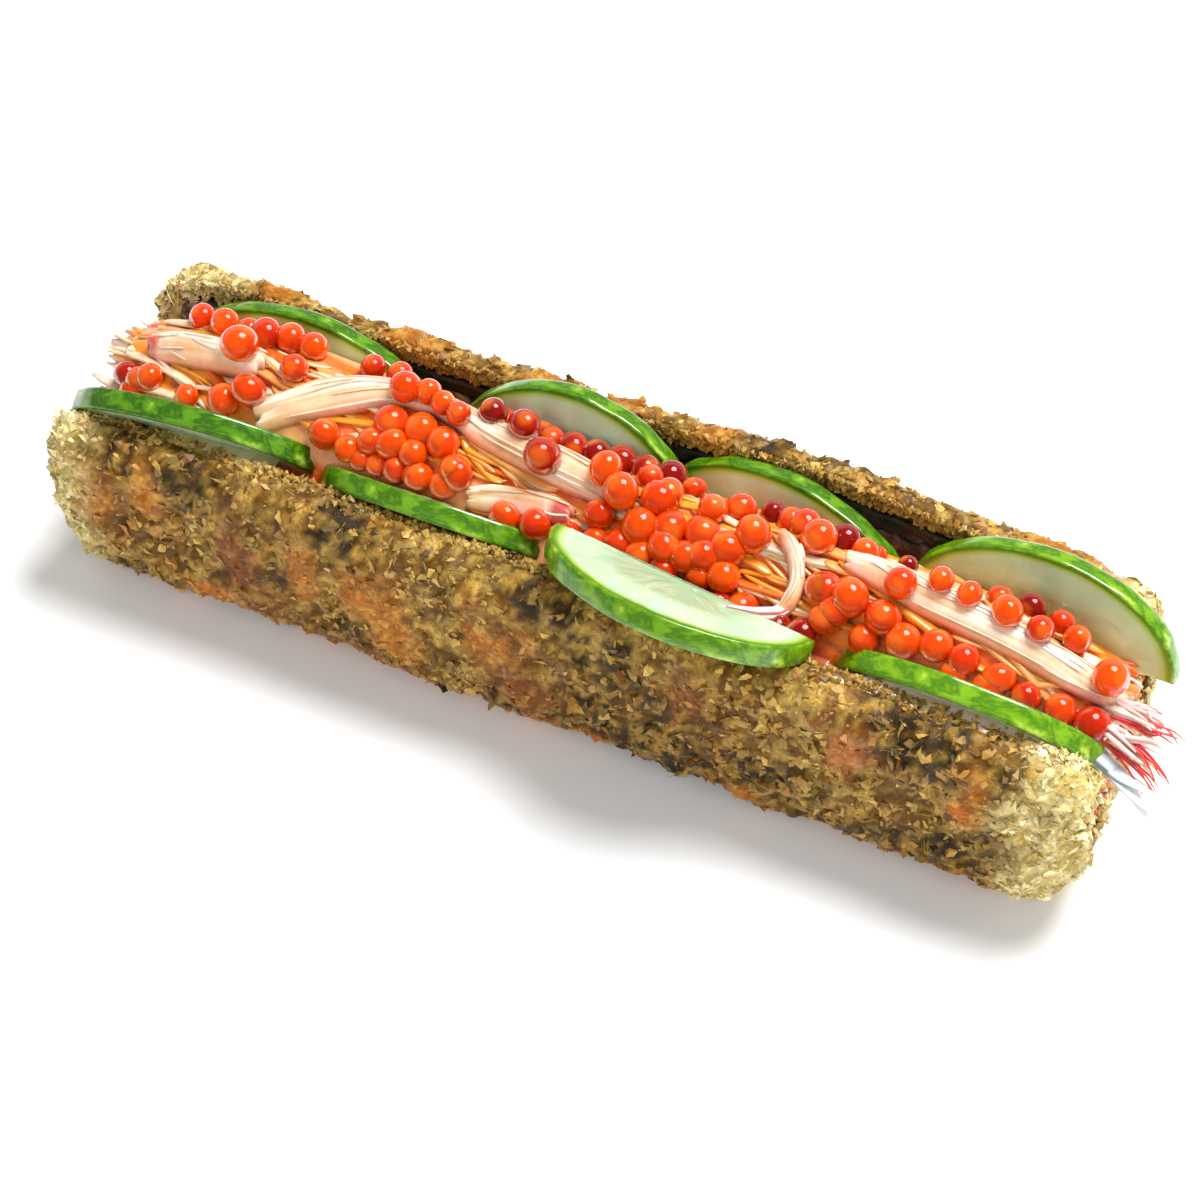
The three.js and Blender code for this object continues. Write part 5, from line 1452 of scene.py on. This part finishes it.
def make_fibre_ends():
    """Ends of the shredded crab's fibres, which stand out of the filling at both ends of the trough."""
    rng = np.random.default_rng(88)
    k, n = 6, FIBRES
    low_y, high_y = NEAR_SIDE + WALL + LAYER_GAP + 1.2, FAR_SIDE - WALL - LAYER_GAP - 1.2
    side = np.where(rng.random(n) < 0.5, -1.0, 1.0)
    y = rng.uniform(low_y, high_y, n)
    wall = np.maximum(CHANNEL_CORNER - np.minimum(y - low_y, high_y - y), 0)
    low = CHANNEL_FLOOR + 1.6 + CHANNEL_CORNER - np.sqrt(np.maximum(CHANNEL_CORNER ** 2 - wall ** 2, 0))
    high = core_height(side * (CORE_END - 1), y) - 0.6
    z = low + (high - low) * rng.random(n)
    t = np.linspace(0, 1, k)
    out = rng.uniform(*FIBRE_OUT, n) + 0.8 - 0.8 * np.abs(y) / 14
    x = side[:, None] * (CORE_END - FIBRE_ROOT + (FIBRE_ROOT + out)[:, None] * t)
    sway = rng.normal(0, 1.0, (n, 1)) * t ** 2
    drop = np.maximum(rng.normal(-0.2, 0.8, (n, 1)), -1.2) * t ** 2
    paths = askew(x.ravel(), (y[:, None] + sway).ravel(), (z[:, None] + drop).ravel()).reshape(n, k, 3)
    ups = rng.normal(0, 1, (n, 1, 3)) + [0, 0, 1.2]
    width = rng.uniform(1.0, 3.0, n)[:, None] * (1 - 0.6 * t ** 6)
    thick = rng.uniform(0.6, 1.3, n)[:, None] * (1 - 0.6 * t ** 6)
    pts, groups, size = ribbons(paths, ups, width, thick)
    tones = np.array([CREAM, PEACH, SAUCE, YOLK, colour(244, 216, 196), DEEP_SAUCE_AND_SHADE])
    tone = tones[rng.choice(6, n, p=[0.30, 0.28, 0.14, 0.10, 0.16, 0.02])] * rng.uniform(0.8, 1.1, (n, 1))
    look = crab_material("fibre_end", 1.4)
    build("fibre_ends", pts, groups, look, tints=np.repeat(tone, size, 0))


# Shreds that stick out of the right end: from, over, to, width, colour
TIPS = [
    ((88, -3, 34), (95, -5, 37), (101.5, -6.3, 35.0), 4.2, "peach"),
    ((88, -6.5, 34.6), (96, -8.4, 36.8), (102.6, -9.4, 33.6), 4.4, "pink"),
    ((90, 0, 33), (97, -3, 36.6), (102.5, -3.4, 35.6), 3.4, "pink"),
    ((90, -5, 32), (97, -7.2, 34.6), (103.0, -9.8, 30.8), 3.8, "peach"),
    ((93, -6, 35.8), (100.5, -6.6, 37.2), (105.6, -6.2, 35.2), 1.3, "red"),
    ((94, -8, 35.4), (100, -8.8, 35.8), (106, -11.6, 31.6), 1.2, "red"),
    ((94, -10, 34.4), (99, -10.9, 34.0), (104.6, -13.0, 30.8), 1.1, "red"),
    ((89, -10, 34), (98.4, -12, 31.8), (105.6, -15.0, 29.2), 4.6, "white"),
]
TIP_COLOURS = {"peach": colour(246, 216, 198), "red": colour(222, 60, 56), "pink": colour(244, 196, 190),
               "white": colour(228, 234, 238)}


def make_tips():
    rng = np.random.default_rng(77)
    k = 16
    strands = []
    t = np.linspace(0, 1, k)
    for start, over, stop, width, kind in TIPS:
        a, b, c = [np.array(v, float) for v in (start, over, stop)]
        curve = ((1 - t) ** 2)[:, None] * a + (2 * t * (1 - t))[:, None] * b + (t ** 2)[:, None] * c
        for s in range({"white": 3, "red": 5}.get(kind, 9)):
            drift = rng.normal(0, 0.45, 3) * max(width, 2.4) * 0.55
            wave = np.sin(t * rng.uniform(3, 9) + rng.uniform(0, 6))[:, None] * rng.normal(0, 0.6, 3)
            path = curve + drift * t[:, None] + wave * t[:, None]
            w = width * {"red": 0.45, "white": 0.8}.get(kind, 0.32) * rng.uniform(0.7, 1.2)
            thick = {"red": 0.55, "white": 0.35}.get(kind, 0.9) * (1 - 0.6 * t ** 3)
            shade = TIP_COLOURS[kind]
            far = TIP_COLOURS["red"] if kind == "pink" and s % 3 == 0 else shade
            tint = blend(shade, far, t ** 3 * 0.8) * rng.uniform(0.9, 1.06)
            strands.append((path, (0.15, 0, 1.0), w * (1 - 0.75 * t ** 3), thick, tint))
    pts, groups, tints = tangle(strands)
    build("crab_tips", pts, groups, crab_material("crab_tip", 1.6, 0.5), tints=tints)


# Pale film between the rim of the near wall and a slice: start and stop along it, and its colour
FILMS = [("cucumber_near_1", -80, -55, colour(170, 164, 120)),
         ("cucumber_near_4", 52, 94, colour(206, 176, 156))]


def make_films():
    """Batter that closes the gap behind the near rim, and thin films that reach up to the cucumber."""
    x = np.linspace(-97, 96, 240)
    rim = shape_at(x)["near_rim"]
    path = askew(x, NEAR_SIDE + RIM_RADIUS + 1.2, rim - 1.5 + 0.3 * np.sin(x / 3.7))
    pts, groups, _ = ribbons([path], [[(0, 0.15, 1.0)]], [4.4 + 0.8 * np.sin(x / 5.3)],
                             [1.8 + 0.5 * np.sin(x / 1.9)], 14)
    pts += 0.8 * (layered(pts, 2.2, 2, 111) - 0.5)[:, None] * np.array([0, 0.6, 1.0])
    pale = smooth(0.4, 0.7, layered(pts, 2.0, 2, 113))
    tint = blend(lerp(OLIVE, GROUND, 0.6), lerp(OLIVE, PALE, 0.2), pale)
    look = crab_material("rim_batter_look", 1.0, 0.0)
    build("rim_batter", pts, groups, look, tints=tint)
    for name, start, stop, tone in FILMS:
        moon = MOONS[name]
        x = np.linspace(start, stop, 70)
        t = np.linspace(0, 1, 70)
        lean = math.radians(-moon["lean"])
        share = np.clip((x - moon["at"][0]) / moon["half"], -0.995, 0.995)
        crest = moon["at"][2] + moon["height"] * np.sqrt(1 - share ** 2) * math.cos(lean)
        rim = shape_at(x)["near_rim"]
        sunk = 2.4 * (1 - smooth(0, 0.2, t) * smooth(1, 0.85, t))
        z1 = np.minimum(rim - 0.1, crest - 0.8) + 0.2 * np.sin(x / 2.9) - sunk
        y0 = NEAR_SIDE + RIM_RADIUS - 0.8
        y1 = (moon["at"][1] - (z1 - moon["at"][2]) * math.tan(lean) - NEAR_MOON / 2 / math.cos(lean)
              + (x - moon["at"][0]) * math.sin(math.radians(moon["yaw"])) + 0.5)
        y1 = np.maximum(y1, y0 + 0.6)
        z0 = np.minimum(rim - 0.9, z1 - 0.2)
        across = np.column_stack([0 * x, y1 - y0, z1 - z0])
        up = unit(np.cross([1.0, 0, 0], across))
        wide = np.hypot(y1 - y0, z1 - z0) + 0.6
        pts, groups, _ = ribbons([askew(x, (y0 + y1) / 2, (z0 + z1) / 2)], [up], [wide],
                                 [0.7 + 0.2 * np.sin(x / 1.7)], 12)
        pts[:, 2] += 0.3 * (noise(pts, 1.6, 111) - 0.5)
        tint = np.tile(tone, (len(pts), 1)) * lerp(0.75, 1.15, layered(pts, 2.4, 2, 113))[:, None]
        look = crab_material(name + "_film_look", 1.0, 0.2)
        build(name + "_film", pts, groups, look, tints=tint)


def make_band():
    """The tail of the loop of crab, which runs over the edge of the near cucumber."""
    k = 26
    t = np.linspace(0, 1, k)
    spots = np.array([(38.4, -8.4, 38.2), (37.6, -11.0, 38.6), (34.6, -13.8, 39.9), (29.6, -15.8, 41.2)])
    path = np.column_stack([np.interp(t, [0, 0.3, 0.65, 1], spots[:, i]) for i in range(3)])
    for _ in range(4):
        path[1:-1] = (path[:-2] + path[1:-1] * 2 + path[2:]) / 4
    fade = np.clip(1 - t ** 5, 0.15, 1)
    strands = []
    for beside, width, thick, tone in (((0, 0, 0), 2.5, 0.9, colour(240, 218, 208)),
                                       ((0.9, 0.25, 0.15), 0.5, 0.7, colour(226, 120, 108))):
        tint = np.tile(tone, (k, 1))
        strands.append((path + beside, (0, -0.35, 1.0), width * fade, np.full(k, thick), tint))
    pts, groups, tint = tangle(strands, 10)
    build("crab_band", pts, groups, crab_material("band_look", 1.4, 0.4), tints=tint)


# Roe

def make_roe():
    rng = np.random.default_rng(19)
    eggs = egg_list()
    around, along = detail(*EGG_AROUND), detail(*EGG_ALONG)
    n = len(eggs)
    centres = np.array([(e.x, e.y, e.z) for e in eggs])
    radius = np.array([e.radius for e in eggs])
    axes, radii = [], []
    for r in radius:
        v = unit(rng.normal(size=3))
        w = unit(np.cross(v, rng.normal(size=3)))
        axes.append([v, w, np.cross(v, w)])
        long = rng.uniform(0.97, 1.08) if rng.random() < 0.8 else rng.uniform(1.08, 1.16)
        radii.append((r * long, r * rng.uniform(0.95, 1.0), r * rng.uniform(0.94, 1.0)))
    pts, groups, size = ellipsoids(centres, np.array(axes), np.array(radii), around, along)
    out = unit(pts - np.repeat(centres, size, 0))
    # Tone of each egg: a random tone, with painted shade that turns eggs deep red low in the filling and at
    # the far side; orange on top
    tone = rng.uniform(0, 1, n)
    # Painted shade: eggs lower down and at the far side turn redder
    under = smooth(38.5, 35.0, centres[:, 2]) * 0.5
    far = smooth(2.5, 6.5, centres[:, 1]) * smooth(-30, -20, centres[:, 0]) * 0.75
    red = np.clip(0.85 * tone ** 1.5 + under + far * (0.5 + 0.5 * rng.random(n)), 0, 1)
    base = blend(colour(240, 84, 2), colour(204, 26, 2), red)
    # The reddest eggs go darker still: random tone and painted shade together
    base = blend(base, colour(128, 12, 4), smooth(0.65, 1.0, red) * 0.85)
    tints = np.repeat(base, size, 0)
    # A darker, redder side away from the light, and an oil drop that shows as a paler spot
    turn = np.array([0.72, -0.35, -0.45])
    lean = unit(rng.normal(0, 0.25, (n, 3)) + turn)
    crescent = smooth(0.35, 0.95, (out * np.repeat(lean, size, 0)).sum(1))
    tints = blend(tints, np.repeat(base * [0.6, 0.3, 0.3], size, 0), crescent * 0.8)
    drop = unit(rng.normal(0, 0.45, (n, 3)) + np.array([-0.25, -0.3, 0.75]))
    spot = smooth(0.80, 0.95, (out * np.repeat(drop, size, 0)).sum(1))
    tints = blend(tints, colour(250, 130, 40), spot * 0.45)
    m = tinted("roe", 0.08, (420, 3, 0.5), ((0.3, 0.85), (0.5, 1.0), (0.7, 1.1)), 0.12, 0.03,
               Specular_IOR_Level=0.35, IOR=1.37, Transmission_Weight=0.25)
    soft(m, 0.5, (1.0, 0.24, 0.02), 1.5)
    m.bump(m.noise(500, 2), 0.06, 0.1)
    build("roe", pts, groups, m.material, tints=tints)


# Floor, light and camera

def make_stage():
    mesh = bpy.data.meshes.new("floor")
    corners = [(x * FLOOR_REACH, y * FLOOR_REACH, 0) for x, y in ((-1, -1), (1, -1), (1, 1), (-1, 1))]
    mesh.from_pydata(corners, [], [(0, 1, 2, 3)])
    floor = bpy.data.objects.new("floor", mesh)
    m = Nodes("floor", Roughness=0.9, Base_Color=(0.93, 0.93, 0.935), Specular_IOR_Level=0.1)
    mesh.materials.append(m.material)
    bpy.context.scene.collection.objects.link(floor)
    world = bpy.data.worlds.new("studio")
    world.use_nodes = True
    sky = world.node_tree.nodes["Background"]
    sky.inputs["Color"].default_value = (1.0, 1.0, 1.0, 1.0)
    sky.inputs["Strength"].default_value = WORLD_LIGHT
    bpy.context.scene.world = world


def area_light(name, place, size, power, tone, mirrored):
    lamp = bpy.data.lights.new(name, "AREA")
    lamp.shape = "DISK"
    lamp.size = size
    lamp.energy = power
    lamp.color = tone
    item = bpy.data.objects.new(name, lamp)
    item.location = place
    direction = Vector(LIGHT_AIM) - Vector(place)
    item.rotation_euler = direction.to_track_quat("-Z", "Y").to_euler()
    item.visible_glossy = mirrored
    bpy.context.scene.collection.objects.link(item)


def make_camera():
    a, e = math.radians(CAMERA_TURN), math.radians(CAMERA_RISE)
    back = Vector((math.sin(a) * math.cos(e), -math.cos(a) * math.cos(e), math.sin(e)))
    right = Vector((math.cos(a), math.sin(a), 0))
    up = back.cross(right)
    camera = bpy.data.cameras.new("camera")
    camera.lens, camera.sensor_width = LENS, SENSOR
    camera.clip_start, camera.clip_end = 0.01, 50
    item = bpy.data.objects.new("camera", camera)
    turn = Matrix((right, up, back)).transposed().to_4x4()
    turn.translation = Vector(metres(CAMERA_AT))
    item.matrix_world = turn
    bpy.context.scene.collection.objects.link(item)
    bpy.context.scene.camera = item


make_camera()
make_stage()
for light in LIGHTS:
    area_light(*light)
bpy.context.scene.view_settings.view_transform = "Standard"

make_crumbs(*make_crust())
make_nori()
make_rice()
for number, moon_name in enumerate(MOONS):
    make_cucumber(moon_name, number)
make_filling()
make_strands()
make_fibre_ends()
for number, strip_name in enumerate(STRIPS):
    make_strip(strip_name, number)
make_tips()
make_films()
make_band()
make_roe()
